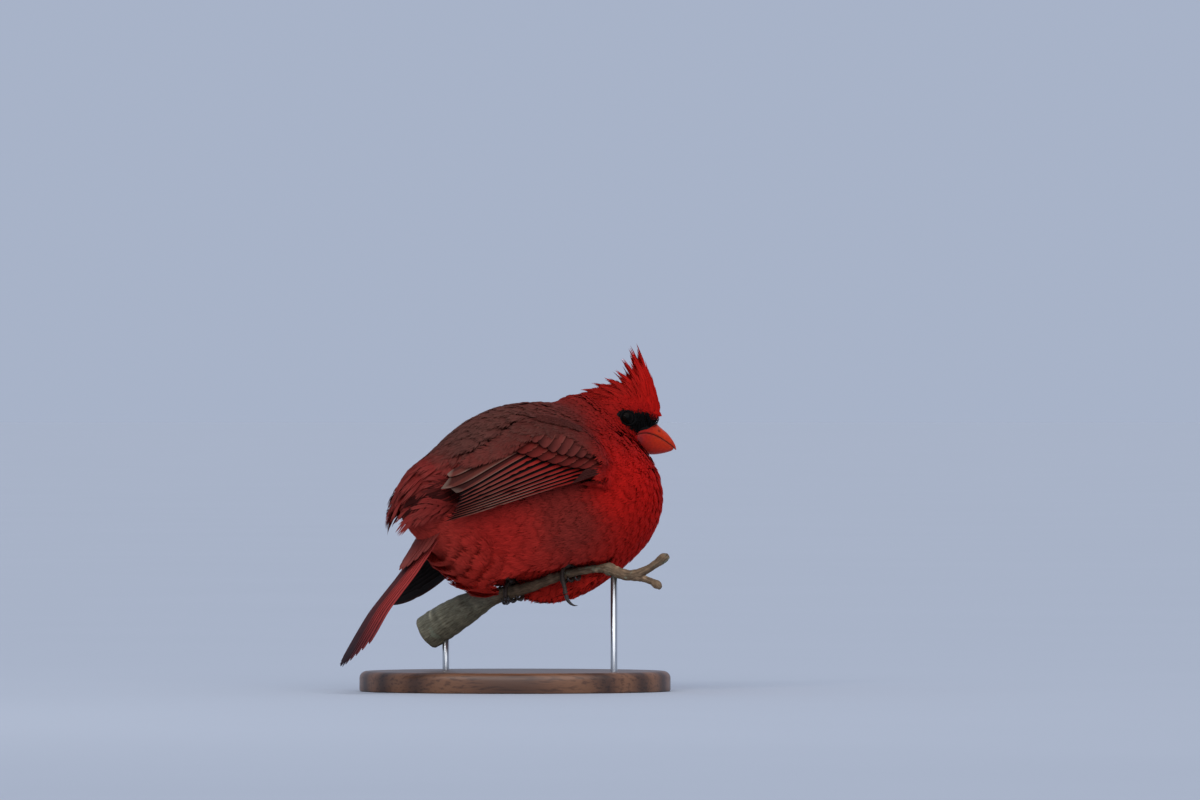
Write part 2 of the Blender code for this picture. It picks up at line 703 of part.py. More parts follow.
def make_crest(name):
    """The raised crest: a low core between the feathers, and the locks themselves."""
    front = smooth_line([(11.8, 0, 3.5), (9.4, 0, 8.5), (5.7, 0, 13.5), (-1.4, 0, 19)], 6)
    rear = smooth_line([(-19, 0, 2), (-17, 0, 7), (-14, 0, 11.5), (-9, 0, 18.5)], 6)
    t = np.linspace(0, 1, 4)[None, :, None]
    grid = front[:, None] * (1 - t) + rear[:, None] * t
    grid = grid @ np.array(HEAD_TURN).T * MM + np.array(HEAD_CENTRE)
    crest = sheet_solid(name, grid, np.linspace(8.5, 2.4, 6) * MM)
    tips = np.array(CREST_TIPS, float)
    shares = np.linspace(0, 1, len(tips))
    locks = []
    for row, columns in CREST_ROWS:
        for place, l in enumerate(columns):
            q = row + 0.025 * (place % 2)
            f = 11.6 - 22.4 * q
            root = np.array([f, l, crown_height(f, l) - 2.5])
            tip_f = np.interp(q, shares, tips[:, 0])
            tip_u = np.interp(q, shares, tips[:, 1])
            lower = 0.9 * abs(l)
            tip = np.array([tip_f - 0.15 * lower, l * (0.3 + 0.5 * q), tip_u - lower])
            out = np.array([0.78, l * 0.09, 0.62])
            knee = (root + tip) / 2 + out * (3.9 - 1.5 * q)
            t = np.linspace(0, 1, 5)[:, None]
            path = (1 - t) ** 2 * root + 2 * t * (1 - t) * knee + t**2 * tip
            wide = np.array([2.2, 2.5, 2.0, 1.2]) * (1 - 0.2 * q)
            thick = np.array([1.5, 1.35, 0.95, 0.5])
            locks.append(blade_lock("lock", path, wide, thick))
    boolean(crest, locks, "UNION", "MANIFOLD")
    return keep_largest(crest)


# The perch in the world, in mm: the middle of the wood and its radius, from the cut end
BRANCH = (
    (-39.6, 28.9, 25.8, 7.9), (-33.8, 25.7, 29.5, 7.9), (-27, 22.0, 33.8, 7.6),
    (-20.3, 18.3, 37.6, 6.6), (-14.9, 15.3, 40.3, 5.2), (-10.4, 12.8, 42.1, 4.1),
    (-4.5, 9.6, 43.7, 3.1), (6.8, 3.4, 46.8, 2.5), (15.8, -1.5, 50.2, 2.2),
    (24.8, -6.5, 53.1, 1.95), (33.8, -11.4, 54.9, 1.75), (39.2, -14.4, 55.4, 1.9),
    (42.3, -16.1, 55.1, 2.9), (45.5, -17.9, 53.8, 2.4), (50.9, -20.9, 52.4, 2.4),
    (55.4, -23.3, 53.1, 2.2), (59.9, -25.8, 55.4, 1.8), (63.5, -27.8, 57.8, 1.8),
    (66.6, -29.5, 60.1, 2.3), (68.6, -30.6, 61.2, 1.3),
)
FORK = (
    (51.8, -21.3, 52.0, 1.9), (57.2, -24.3, 51.1, 1.6), (61.2, -26.5, 49.7, 1.5),
    (63.9, -28.0, 48.2, 1.9), (65.3, -28.8, 46.8, 1.0),
)


def wood(name, knots, sides, steps, into=BIRD):
    """A length of wood through knots of (x, y, z, radius) in mm."""
    line = smooth_line(knots, steps)
    return tube(name, line[:, :3] * MM, line[:, 3] * MM, sides, into)


def twig_at(x):
    """The twig's middle, its direction and its radius, in mm, where it passes x."""
    line = smooth_line(BRANCH, 151)
    spot = np.array([np.interp(x, line[:, 0], line[:, k]) for k in range(4)])
    ahead = np.array([np.interp(x + 1, line[:, 0], line[:, k]) for k in range(3)])
    along = (ahead - spot[:3]) / np.linalg.norm(ahead - spot[:3])
    return spot[:3], along, spot[3]


def perch_frame(x):
    """The twig's middle and radius at x, with its along, up and far directions."""
    spot, along, radius = twig_at(x)
    up = np.array([0, 0, 1.0]) - along * along[2]
    up /= np.linalg.norm(up)
    far = np.cross(up, along)
    return spot, along, up, far, radius


def belly_notch():
    """The room under the near flank for the twig and the feet, as a beam along the twig."""
    rows = []
    for x in (-32, -22, -15, -10, -5, 2, 9, 16, 24, 33, 42, 52, 66):
        spot, along, up, far, radius = perch_frame(x)
        room = min(max((x + 13) / 8, 0), 1)
        deep = radius + 0.7 + 2.6 * room
        section = [
            (deep, -34), (deep, radius + 0.4 + 0.6 * room),
            (0.4 * radius, radius + 0.9 + 3.2 * room),
            (-3.2 - 0.1 * radius, radius + 0.9 + 5.5 * room),
            (-60, radius + 0.9 + 9.0 * room), (-60, -34),
        ]
        rows.append([spot + far * h + up * v for h, v in section])
    points = np.array(rows).reshape(-1, 3) * MM
    faces = [tuple(range(6)), tuple(range(len(points) - 6, len(points)))]
    for i in range(len(rows) - 1):
        for j in range(6):
            k = (j + 1) % 6
            faces.append((i * 6 + j, i * 6 + k, i * 6 + 6 + k, i * 6 + 6 + j))
    return mesh_object("notch", points, faces, HELPERS)


RIGHT_FOOT_X = 24.4
LEFT_FOOT_X = -1.3
TOE_RADIUS = 1.05
TOE_STAND_OFF = TOE_RADIUS + 0.34


def arc_path(x, angles, shifts, stand_off):
    """Points in mm that wrap the twig at x: angles run from its far side over the top."""
    spot, along, up, far, radius = perch_frame(x)
    turn = np.radians(np.asarray(angles, float))[:, None]
    reach = radius + np.asarray(stand_off, float)[..., None]
    slide = along * np.asarray(shifts, float)[:, None]
    return spot + slide + reach * (far * np.cos(turn) + up * np.sin(turn))


def make_foot(side_name, x, toes, hind_path):
    """A foot with its toes in one solid, and the four claws beyond them.

    Each front toe is told by the angle round the twig that it ends at and by how far it slides
    along the twig, in mm. The hind toe and its claw are told by knots, in mm.
    """
    spot, along, up, far, radius = perch_frame(x)
    name = "foot_" + side_name
    foot = ball(name, (spot + up * (radius + 1.9)) * MM, Matrix.Identity(3), (2.0, 1.9, 1.7), 10, 6)
    joined = []
    for toe, (end, shift) in toes.items():
        angles = np.linspace(98, end, 8)
        share = np.linspace(0, 1, 8)
        bumps = TOE_RADIUS * (1 + 0.1 * np.cos(share * 6 * math.pi) - 0.18 * share)
        path = arc_path(x, angles, shift * share**0.8, np.full(8, TOE_STAND_OFF))
        joined.append(tube(toe, path * MM, bumps * MM, 6, HELPERS))
        bend = np.linspace(end - 9, end - 62, 5)
        rise = np.linspace(0, 1, 5)
        off = TOE_STAND_OFF - 0.1 + 0.9 * np.sin(rise * math.pi) - 0.25 * rise
        claw = arc_path(x, bend, np.full(5, shift), off)
        made = tube(f"claw_{side_name}_{toe}", claw * MM, np.linspace(0.72, 0.16, 5) * MM, 6)
        finish(made, CLAW_HORN)
    toe_line, claw_line = hind_path
    toe_line = smooth_line(toe_line, 9)
    share = np.linspace(0, 1, 9)
    bumps = TOE_RADIUS * (1 + 0.1 * np.cos(share * 4 * math.pi) - 0.12 * share)
    joined.append(tube("hind", toe_line * MM, bumps * MM, 6, HELPERS))
    claw_line = smooth_line(claw_line, 7)
    radii = np.linspace(0.8, 0.16, 7) * MM
    finish(tube(f"claw_{side_name}_hind", claw_line * MM, radii, 6), CLAW_HORN)
    boolean(foot, joined, "UNION", "MANIFOLD")
    return keep_largest(foot)


def make_tarsus(side_name, x, heel):
    """The scaled leg from the top of the foot up to the heel inside the plumage."""
    spot, along, up, far, radius = perch_frame(x)
    foot_top = spot + up * (radius + 2.6)
    line = smooth_line([foot_top, foot_top * 0.5 + np.array(heel) * 0.5 + up * 0.4, heel], 7)
    radii = np.array([1.35, 1.15, 1.05, 1.05, 1.1, 1.3, 1.6])
    return tube("tarsus_" + side_name, line * MM, radii * MM, 10)


BASE_HALF = (70, 48)
BASE_HEIGHT = 9
ROD_RADIUS = 1.5
ROD_PLACES = {"front": (44.5, -17.4), "rear": (-31.5, 24.5)}


def make_base():
    """The oval base with its upper edge rounded."""
    count = 36
    angle = np.arange(count) * 2 * math.pi / count
    points = []
    for height, inset in ((0, 0.6), (0.6, 0), (6, 0), (8.2, 1.1), (BASE_HEIGHT, 3.2)):
        for t in angle:
            points.append(
                (
                    (BASE_HALF[0] - inset) * math.cos(t) * MM,
                    (BASE_HALF[1] - inset) * math.sin(t) * MM,
                    height * MM,
                )
            )
    faces = [tuple(range(count)), tuple(range(4 * count, 5 * count))]
    for r in range(4):
        for i in range(count):
            j = (i + 1) % count
            low, high = r * count, r * count + count
            faces.append((low + i, low + j, high + j, high + i))
    return mesh_object("stand_base", points, faces)


# The perch and what it stands on
perch = wood("perch", BRANCH, 10, 36)
boolean(perch, [wood("fork", FORK, 8, 9, HELPERS)], "UNION")
keep_largest(perch)
base = make_base()
for place, (x, y) in ROD_PLACES.items():
    foot_end = (x * MM, y * MM, 3.5 * MM)
    head_end = (x * MM, y * MM, twig_at(x)[0][2] * MM)
    rod = tube("stand_rod_" + place, [foot_end, head_end], [ROD_RADIUS * MM] * 2, 16)
    seat(rod, perch)
    seat(base, rod)
    finish(rod, STEEL)

# The feet, their claws and the legs
right_hind = (
    (
        (23.2, -6.6, 56.6), (21.4, -8.6, 54.6), (21.4, -9.1, 51.0), (22.2, -9.5, 47.0),
        (22.8, -9.7, 43.9),
    ),
    (
        (22.95, -9.75, 43.2), (23.5, -9.8, 41.5), (24.9, -9.9, 39.7), (26.6, -10.0, 38.7),
        (28.3, -10.1, 38.7),
    ),
)
right_toes = {"inner": (-88, -3.4), "middle": (-96, 0.5), "outer": (-84, 4.0)}
right_foot = make_foot("right", RIGHT_FOOT_X, right_toes, right_hind)
hind_reach = np.full(4, TOE_STAND_OFF)
left_hind = (
    tuple(arc_path(LEFT_FOOT_X, (100, 135, 170, 205), (0, -0.6, -1.2, -1.8), hind_reach)),
    tuple(arc_path(LEFT_FOOT_X, (213, 232, 250, 262), (-2, -2.5, -2.8, -3), (1.3, 2, 1.9, 1.2))),
)
left_toes = {"inner": (-92, 3.6), "middle": (-100, -0.4), "outer": (-88, -4.2)}
left_foot = make_foot("left", LEFT_FOOT_X, left_toes, left_hind)
right_leg = make_tarsus("right", RIGHT_FOOT_X, (12.3, -13.5, 67.5))
left_leg = make_tarsus("left", LEFT_FOOT_X, (-12, 0, 59))

# The eyes and the bill
eyes = []
for side_name, side in (("left", 1), ("right", -1)):
    f, l, u = EYE_PLACE
    eye = ball("eye_" + side_name, head_point(f, side * l, u), HEAD_TURN, (EYE_RADIUS,) * 3, 16, 10)
    eyes.append(finish(eye, BLACK_EYE))
bill_upper = bill_half("bill_upper", BILL_RIDGE, UPPER_STATIONS, 0.18)
nostrils = []
for side in (1, -1):
    spot = head_point(14.6, side * 4.9, -0.6)
    nostrils.append(ball("nostril", spot, HEAD_TURN, (1.0, 0.8, 0.6), 10, 6, HELPERS))
boolean(bill_upper, nostrils, "DIFFERENCE")
bill_lower = bill_half("bill_lower", BILL_KEEL, LOWER_STATIONS, -0.18)

# The body, the head and the neck between them, each seated on what it meets
torso = lobed_form("torso", BODY_CENTRE, BODY_TURN, BODY_LOBES, 28, 19)
boolean(torso, [belly_notch()], "DIFFERENCE")
boolean(torso, rump_plumes(), "UNION", "MANIFOLD")
seat(torso, bill_lower, solver="MANIFOLD")
head = lobed_form("head", HEAD_CENTRE, HEAD_TURN, HEAD_LOBES, 22, 14)
boolean(head, [lid_ring("lids_left", 1), lid_ring("lids_right", -1)], "UNION")
seat(head, *eyes, bill_upper, bill_lower, torso, solver="MANIFOLD")
neck = lobed_form("neck", body_point(*NECK_CENTRE), BODY_TURN, NECK_LOBES, 22, 14)
seat(neck, torso, head, eyes[1], solver="MANIFOLD")
crest = make_crest("crest")
seat(crest, head, neck, solver="MANIFOLD")

# The wings, the tail and the legs meet the body from outside
for side_name, side in (("left", 1), ("right", -1)):
    wing = make_wing("wing_" + side_name, side)
    finish(seat(wing, torso, solver="MANIFOLD"), BROWN_RED)
tail = make_tail("tail")
seat(tail, torso, solver="MANIFOLD")
seat(right_leg, right_foot, torso)
seat(left_leg, left_foot, torso)
for piece in (right_foot, left_foot, right_leg, left_leg):
    finish(piece, SCALED_SKIN)

for piece, mat in (
    (torso, RED), (neck, RED), (head, RED), (crest, RED), (bill_upper, CORAL),
    (bill_lower, CORAL), (tail, TAIL_RED), (perch, BARK), (base, WALNUT),
):
    finish(piece, mat)
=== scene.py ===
import bpy
import numpy as np
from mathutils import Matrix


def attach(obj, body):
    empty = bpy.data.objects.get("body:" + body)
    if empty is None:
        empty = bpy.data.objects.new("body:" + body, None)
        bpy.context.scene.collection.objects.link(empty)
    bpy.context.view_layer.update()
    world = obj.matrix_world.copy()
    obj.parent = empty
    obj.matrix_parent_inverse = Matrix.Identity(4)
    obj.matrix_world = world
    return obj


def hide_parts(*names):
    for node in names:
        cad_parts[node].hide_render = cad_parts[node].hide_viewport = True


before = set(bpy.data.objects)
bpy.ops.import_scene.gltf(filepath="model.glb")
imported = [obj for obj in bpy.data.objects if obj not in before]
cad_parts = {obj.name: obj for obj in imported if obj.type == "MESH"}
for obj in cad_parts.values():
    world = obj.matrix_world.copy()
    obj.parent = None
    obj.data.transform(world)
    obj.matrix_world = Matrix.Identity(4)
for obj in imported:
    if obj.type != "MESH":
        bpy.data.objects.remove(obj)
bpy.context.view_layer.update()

# The room: a pale floor under an overcast sky. A sun as wide as cloud lights the bird from the
# front and above, and a small lamp high on the left gives the eye its glint. The camera looks
# level along +Y from 5 m through a long lens: 1200 pixels span 540 mm in the bird's plane.
room = bpy.context.scene
room.view_settings.view_transform = "Standard"
sky = bpy.data.worlds.new("overcast")
sky.use_nodes = True
sky.node_tree.nodes["Background"].inputs["Color"].default_value = (0.39, 0.45, 0.58, 1)
sky.node_tree.nodes["Background"].inputs["Strength"].default_value = 1.0
room.world = sky
lens = bpy.data.cameras.new("long_lens")
lens.sensor_width = 36
lens.lens = 333.3
lens.clip_end = 100
camera = bpy.data.objects.new("long_lens", lens)
camera.location = (0.03825, -5.0, 0.13095)
camera.rotation_euler = (np.pi / 2, 0, 0)
room.collection.objects.link(camera)
room.camera = camera
overcast = bpy.data.lights.new("overcast_sun", "SUN")
overcast.energy = 1.75
overcast.angle = np.radians(70)
glint = bpy.data.lights.new("glint_lamp", "AREA")
glint.size = 0.08
glint.energy = 0.5
LIT_SPOT = (0.0, 0.0, 0.09)
for light, place in ((overcast, (0.05, -1.0, 0.95)), (glint, (-0.42, -0.62, 0.62))):
    lamp = bpy.data.objects.new(light.name, light)
    lamp.location = place
    aim = np.array(LIT_SPOT) - np.array(place)
    lamp.rotation_euler = (
        np.arctan2(np.hypot(aim[0], aim[1]), -aim[2]), 0, np.arctan2(aim[1], aim[0]) - np.pi / 2
    )
    room.collection.objects.link(lamp)


def finish_of(name, roughness, **sockets):
    """A new Principled finish: its node tree and shader, with even values set on its sockets."""
    made = bpy.data.materials.new(name)
    made.use_nodes = True
    shader = made.node_tree.nodes["Principled BSDF"]
    shader.inputs["Roughness"].default_value = roughness
    for socket, value in sockets.items():
        shader.inputs[socket.replace("_", " ")].default_value = value
    return made, made.node_tree, shader


def node(tree, kind, **settings):
    """A new node with its settings. A name that is one of its inputs sets that socket."""
    made = tree.nodes.new(kind)
    for key, value in settings.items():
        if hasattr(made, key):
            setattr(made, key, value)
        else:
            made.inputs[key.replace("_", " ")].default_value = value
    return made


def object_place(tree):
    """The socket of a point's place in the piece's own Object coordinates."""
    return node(tree, "ShaderNodeTexCoord").outputs["Object"]


def stretched(tree, place, stretch):
    """The socket of a place after stretching it along the three axes."""
    spread = node(tree, "ShaderNodeMapping", Scale=stretch)
    tree.links.new(place, spread.inputs["Vector"])
    return spread.outputs["Vector"]


def speckle(tree, place, scale, detail=4.0, stretch=(1, 1, 1), rough=0.55):
    """A noise that reads a place after stretching it, and returns its factor's socket."""
    spread = stretched(tree, place, stretch)
    grain = node(tree, "ShaderNodeTexNoise", Scale=scale, Detail=detail, Roughness=rough)
    tree.links.new(spread, grain.inputs["Vector"])
    return grain.outputs["Fac"]


def graded(tree, factor, stops):
    """A colour ramp over a factor, from pairs of place and linear colour."""
    ramp = node(tree, "ShaderNodeValToRGB")
    while len(ramp.color_ramp.elements) < len(stops):
        ramp.color_ramp.elements.new(0.5)
    for element, (place, colour) in zip(ramp.color_ramp.elements, stops):
        element.position = place
        element.color = (*colour, 1)
    tree.links.new(factor, ramp.inputs["Fac"])
    return ramp.outputs["Color"]


def coloured(tree, shader, colour):
    """Leads a colour's socket into a shader."""
    tree.links.new(colour, shader.inputs["Base Color"])


def unit(ways, least=0.0):
    """Directions at unit length. least keeps one of no length from a division by zero."""
    return ways / (np.linalg.norm(ways, axis=-1, keepdims=True) + least)


MM = 0.001
COAT_WEIGHT, OWN_WEIGHT = 0.78, 0.22


def piece(name, points, faces, finish, slot=None, nodes=(), tint=None, lie=None, patch=None, coat=None):
    """A mesh object from points in mm and an array of faces, riding on the still body.

    tint is a linear colour for each point and lie a vector, both read by the finish. patch is
    each face corner's place on the OFBake map. coat is the way the coat faces at each point,
    which soft barbs are shaded by for the most part.
    """
    mesh = bpy.data.meshes.new(name)
    corners = np.asarray(faces, np.int32)
    mesh.vertices.add(len(points))
    mesh.vertices.foreach_set("co", (np.asarray(points, np.float32) * MM).ravel())
    mesh.loops.add(corners.size)
    mesh.loops.foreach_set("vertex_index", corners.ravel())
    mesh.polygons.add(len(corners))
    mesh.polygons.foreach_set("loop_start", np.arange(len(corners), dtype=np.int32) * corners.shape[1])
    mesh.polygons.foreach_set("use_smooth", np.ones(len(corners), bool))
    mesh.update(calc_edges=True)
    if tint is not None:
        colour = np.ones((len(points), 4), np.float32)
        colour[:, :3] = tint
        mesh.color_attributes.new("tint", "FLOAT_COLOR", "POINT").data.foreach_set("color", colour.ravel())
    if lie is not None:
        mesh.attributes.new("lie", "FLOAT_VECTOR", "POINT").data.foreach_set(
            "vector", np.asarray(lie, np.float32).ravel()
        )
    if patch is not None:
        mesh.uv_layers.new(name="OFBake").data.foreach_set("uv", np.asarray(patch, np.float32).ravel())
    if coat is not None:
        own = np.empty((len(points), 3), np.float32)
        mesh.vertex_normals.foreach_get("vector", own.ravel())
        soft = unit(coat * COAT_WEIGHT + own * OWN_WEIGHT)
        mesh.attributes.new("custom_normal", "FLOAT_VECTOR", "POINT").data.foreach_set(
            "vector", soft.astype(np.float32).ravel()
        )
    mesh.materials.append(finish)
    made = bpy.data.objects.new(name, mesh)
    room.collection.objects.link(made)
    if slot:
        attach(made, "root")
    if nodes:
        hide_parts(*nodes)
    return made


floor_finish, tree, shader = finish_of("pale_floor", 0.9)
mottle = speckle(tree, object_place(tree), 3.0)
coloured(tree, shader, graded(tree, mottle, ((0.3, (0.503, 0.535, 0.592)), (0.7, (0.513, 0.545, 0.602)))))
FLOOR_HALF = 60000.0
FLOOR_BELOW = 0.1
floor_corners = np.array([(-1, -1, 0), (1, -1, 0), (1, 1, 0), (-1, 1, 0)]) * FLOOR_HALF
floor = piece("floor", floor_corners - (0, 0, FLOOR_BELOW), [(0, 1, 2, 3)], floor_finish)

# The skin: one seamless surface under the plumage of body, neck and head. It lies inside the
# flesh by the depth of the coat, and is hollowed where the near flank clears the perch. Its
# outline is a soft union of three groups of egg-shaped lobes, each with a frame of its own.
COAT_DEPTH = 4.6
FACE_DEPTH = 1.7
LOBE_POWER = 16
FLESH_BLEND = 1.4
PROBE = 0.25


def turned(yaw, pitch=0.0):
    """A frame's forward, left and up directions as columns, for degrees of yaw and pitch."""
    yaw, pitch = np.radians([yaw, pitch])
    ahead = np.array([np.cos(yaw) * np.cos(pitch), np.sin(yaw) * np.cos(pitch), np.sin(pitch)])
    left = np.array([-np.sin(yaw), np.cos(yaw), 0.0])
    return np.stack([ahead, left, np.cross(ahead, left)], axis=1)


BODY = np.array([10.0, 0.0, 86.0])
BODY_TURN = turned(32)
HEAD = np.array([50.9, 25.0, 122.9])
HEAD_TURN = turned(14, -22)
TORSO_LOBES = (
    ((-2, 0, 2), (54, 36.5, 42)),
    ((20, 0, 1), (40, 37.5, 35.5)),
    ((2, 1, -12), (41, 37, 34.5)),
    ((-28, 0, -1), (33, 26, 28)),
    ((-40, 0, 0), (30, 18, 22)),
    ((-18, 0, -13.5), (30, 25, 30)),
)
NECK_LOBES = (((0, 0, 0), (18, 17, 17.5)), ((-6, 0, 5.5), (14.5, 13.5, 16)))
HEAD_LOBES = (
    ((-1, 0, 0.5), (15.2, 12.6, 13)),
    ((5, 0, -3), (10.5, 9.6, 9.5)),
    ((-6, 0, -2), (13, 12.2, 12)),
)
FLESH = (
    (BODY, BODY_TURN, TORSO_LOBES),
    (BODY + BODY_TURN @ (27, 0, 26), BODY_TURN, NECK_LOBES),
    (HEAD, HEAD_TURN, HEAD_LOBES),
)


def in_body(points):
    """Points of the world in the body's frame: forward, left and up of its centre, in mm."""
    return (points - BODY) @ BODY_TURN


def in_head(points):
    """Points of the world in the head's frame, in mm."""
    return (points - HEAD) @ HEAD_TURN


def from_body(points):
    """Points of the body's frame in the world."""
    return BODY + np.asarray(points, float) @ BODY_TURN.T


def from_head(points):
    """Points of the head's frame in the world."""
    return HEAD + np.asarray(points, float) @ HEAD_TURN.T


def lobed_reach(ways, lobes):
    """How far lobes reach along directions: a power mean of where each ray leaves each lobe."""
    total = 0.0
    for centre, half in lobes:
        ray = ways / np.array(half, float)
        start = np.array(centre, float) / np.array(half, float)
        along = ray @ start
        square = (ray**2).sum(-1)
        inner = np.sqrt(np.maximum(along**2 - square * (start @ start - 1), 0))
        total = total + ((along + inner) / square) ** LOBE_POWER
    return total ** (1 / LOBE_POWER)


def outside(points):
    """How far points lie outside the flesh, in mm: a soft minimum over its three groups."""
    total = 0.0
    for centre, turn, lobes in FLESH:
        local = (points - centre) @ turn
        size = np.linalg.norm(local, axis=-1) + 1e-9
        away = size - lobed_reach(local / size[..., None], lobes)
        total = total + np.exp(np.minimum(-away / FLESH_BLEND, 60))
    return -FLESH_BLEND * np.log(total + 1e-30)


def slope(points, form):
    """Distance outside a form along its outward normal, and that normal, by differences."""
    base = form(points)
    rise = np.stack([form(points + step) - base for step in np.eye(3) * PROBE], -1) / PROBE
    steep = np.linalg.norm(rise, axis=-1) + 1e-9
    return base / steep, rise / steep[..., None]


def settled(points, level, form=outside):
    """Points moved along the normal until they lie at a level over a form, and the normals."""
    for _ in range(3):
        away, normal = slope(points, form)
        points = points - (away - level)[..., None] * normal
    return points, normal


def mixed(first, second, share):
    """The first value where share is 0, the second where it is 1, and evenly between."""
    return first * (1 - share) + second * share


def headness(points):
    """1 on the head, 0 from the shoulders down, with a smooth change over the neck."""
    near = np.linalg.norm(in_head(points) * (1, 1, 1.1) + (3, 0, 0), axis=-1)
    share = np.clip((25 - near) / 8, 0, 1)
    return share * share * (3 - 2 * share)


def smooth_line(knots, count):
    """A Catmull-Rom line through knots, spread evenly over their number."""
    knots = np.array(knots, float)
    padded = np.vstack([2 * knots[0] - knots[1], knots, 2 * knots[-1] - knots[-2]])
    along = np.linspace(0, len(knots) - 1, count)
    index = np.minimum(along.astype(int), len(knots) - 2)
    t = (along - index)[:, None]
    p0, p1, p2, p3 = (padded[index + k] for k in range(4))
    bend = 2 * p0 - 5 * p1 + 4 * p2 - p3
    return 0.5 * (2 * p1 + (p2 - p0) * t + bend * t**2 + (3 * p1 - p0 - 3 * p2 + p3) * t**3)


BRANCH = (
    (-39.6, 28.9, 25.8, 7.9), (-33.8, 25.7, 29.5, 7.9), (-27, 22.0, 33.8, 7.6),
    (-20.3, 18.3, 37.6, 6.6), (-14.9, 15.3, 40.3, 5.2), (-10.4, 12.8, 42.1, 4.1),
    (-4.5, 9.6, 43.7, 3.1), (6.8, 3.4, 46.8, 2.5), (15.8, -1.5, 50.2, 2.2),
    (24.8, -6.5, 53.1, 1.95), (33.8, -11.4, 54.9, 1.75), (39.2, -14.4, 55.4, 1.9),
    (42.3, -16.1, 55.1, 2.9), (45.5, -17.9, 53.8, 2.4), (50.9, -20.9, 52.4, 2.4),
    (55.4, -23.3, 53.1, 2.2), (59.9, -25.8, 55.4, 1.8), (63.5, -27.8, 57.8, 1.8),
    (66.6, -29.5, 60.1, 2.3), (68.6, -30.6, 61.2, 1.3),
)
twig = smooth_line(BRANCH, 151)
# Where the twig passes under the belly, the cosine and sine of its turn, and of its rise
TWIG_MIDDLE = (11.3, 0.9)
TWIG_COS, TWIG_SIN = 0.876, 0.482
RISE_COS = 0.96


def by_twig(points):
    """Points against the twig: beyond its middle, above it, its radius there, and its x."""
    right, beyond = points[..., 0] - TWIG_MIDDLE[0], points[..., 1] - TWIG_MIDDLE[1]
    over = right * TWIG_SIN + beyond * TWIG_COS
    x = TWIG_MIDDLE[0] + (right * TWIG_COS - beyond * TWIG_SIN) * TWIG_COS
    height = (points[..., 2] - np.interp(x, twig[:, 0], twig[:, 2])) * RISE_COS
    return over, height, np.interp(x, twig[:, 0], twig[:, 3]), x


def under_flank(x):
    """1 where the flank needs room for the perch, easing to 0 towards its thick end."""
    return np.clip((x + 13) / 8, 0, 1)


# How high the room's roof stands over the bark for the skin and for the feathers, by the
# distance beyond the twig's middle, and the x behind which feathers may hang in front of it
ROOF_PLACES = (-60, -3.5, 1, 5.5)
SKIN_ROOF = (9, 5.5, 3.2, 0.2)
FEATHER_ROOF = (2.4, 1.2, 0.5, 0.0)
OPEN_BEHIND = -7


def perch_room(points):
    """How far points lie outside the room under the near flank that the perch and feet need."""
    over, height, radius, x = by_twig(points)
    ease = under_flank(x)
    wall = radius + 0.7 + 2.6 * ease
    roof = radius + 0.9 + ease * np.interp(over, ROOF_PLACES, SKIN_ROOF)
    return np.maximum(over - wall, height - roof)


def perch_gap(points):
    """How far points lie outside the room that feathers leave over the perch and beside it.

    Behind OPEN_BEHIND they may hang in front of the perch, clear of its bark.
    """
    over, height, radius, x = by_twig(points)
    roof = radius + 0.7 + under_flank(x) * np.interp(over, ROOF_PLACES, FEATHER_ROOF)
    front = np.minimum(OPEN_BEHIND - points[..., 0], -over - radius - 1.5)
    return np.maximum(np.maximum(over - radius - 1.0, height - roof), front)


def srgb(red, green, blue):
    """A linear colour from red, green and blue as seen on a screen, 0 to 255."""
    shown = np.array([red, green, blue]) / 255
    return np.where(shown > 0.04045, ((shown + 0.055) / 1.055) ** 2.4, shown / 12.92)


# Red deepest on crown and breast, brown and grey over the back, warm pink towards the vent
PLUMAGE_TONES = (
    ((47, 0, 50), srgb(182, 16, 10)), ((50, 13, 36), srgb(146, 14, 11)),
    ((56, 0, 42), srgb(138, 17, 13)), ((60, 0, 22), srgb(176, 18, 13)),
    ((31, 0, 42), srgb(132, 22, 17)),
    ((28, 26, 30), srgb(140, 19, 15)), ((8, 12, 42), srgb(94, 36, 31)),
    ((1, 34, 20), srgb(80, 32, 27)), ((-14, 30, 30), srgb(72, 32, 27)), ((5, 26, 33), srgb(74, 30, 25)),
    ((22, 36, 20), srgb(172, 19, 14)), ((19, 39, 6), srgb(178, 22, 16)),
    ((-20, 10, 38), srgb(86, 46, 39)), ((-38, 8, 25), srgb(78, 45, 39)),
    ((-64, 0, 4), srgb(116, 36, 32)), ((52, 15, 0), srgb(190, 22, 15)),
    ((38, 32, 10), srgb(184, 20, 15)), ((35, 12, -30), srgb(184, 26, 18)),
    ((8, 15, -40), srgb(168, 34, 26)), ((0, 36, -10), srgb(112, 37, 31)),
    ((-32, 24, -16), srgb(160, 35, 29)), ((-34, 8, -38), srgb(205, 50, 40)),
    ((-46, 0, -32), srgb(196, 70, 58)),
)
# The mask's upper and lower lines on the side of the head, as places forward and heights
MASK_TOP = ((-14, -8.4, -3.2, 0, 6.7, 13.7, 17), (-2, 0.6, 2.7, 3.5, 4.3, 4.9, 4.6))
MASK_LOW = ((-14, -6.8, -2.3, 1.9, 5.0, 7, 9.5, 12), (-1.6, -3.8, -5.7, -5.9, -6.6, -10, -14, -17))
MASK_RADIUS = 25


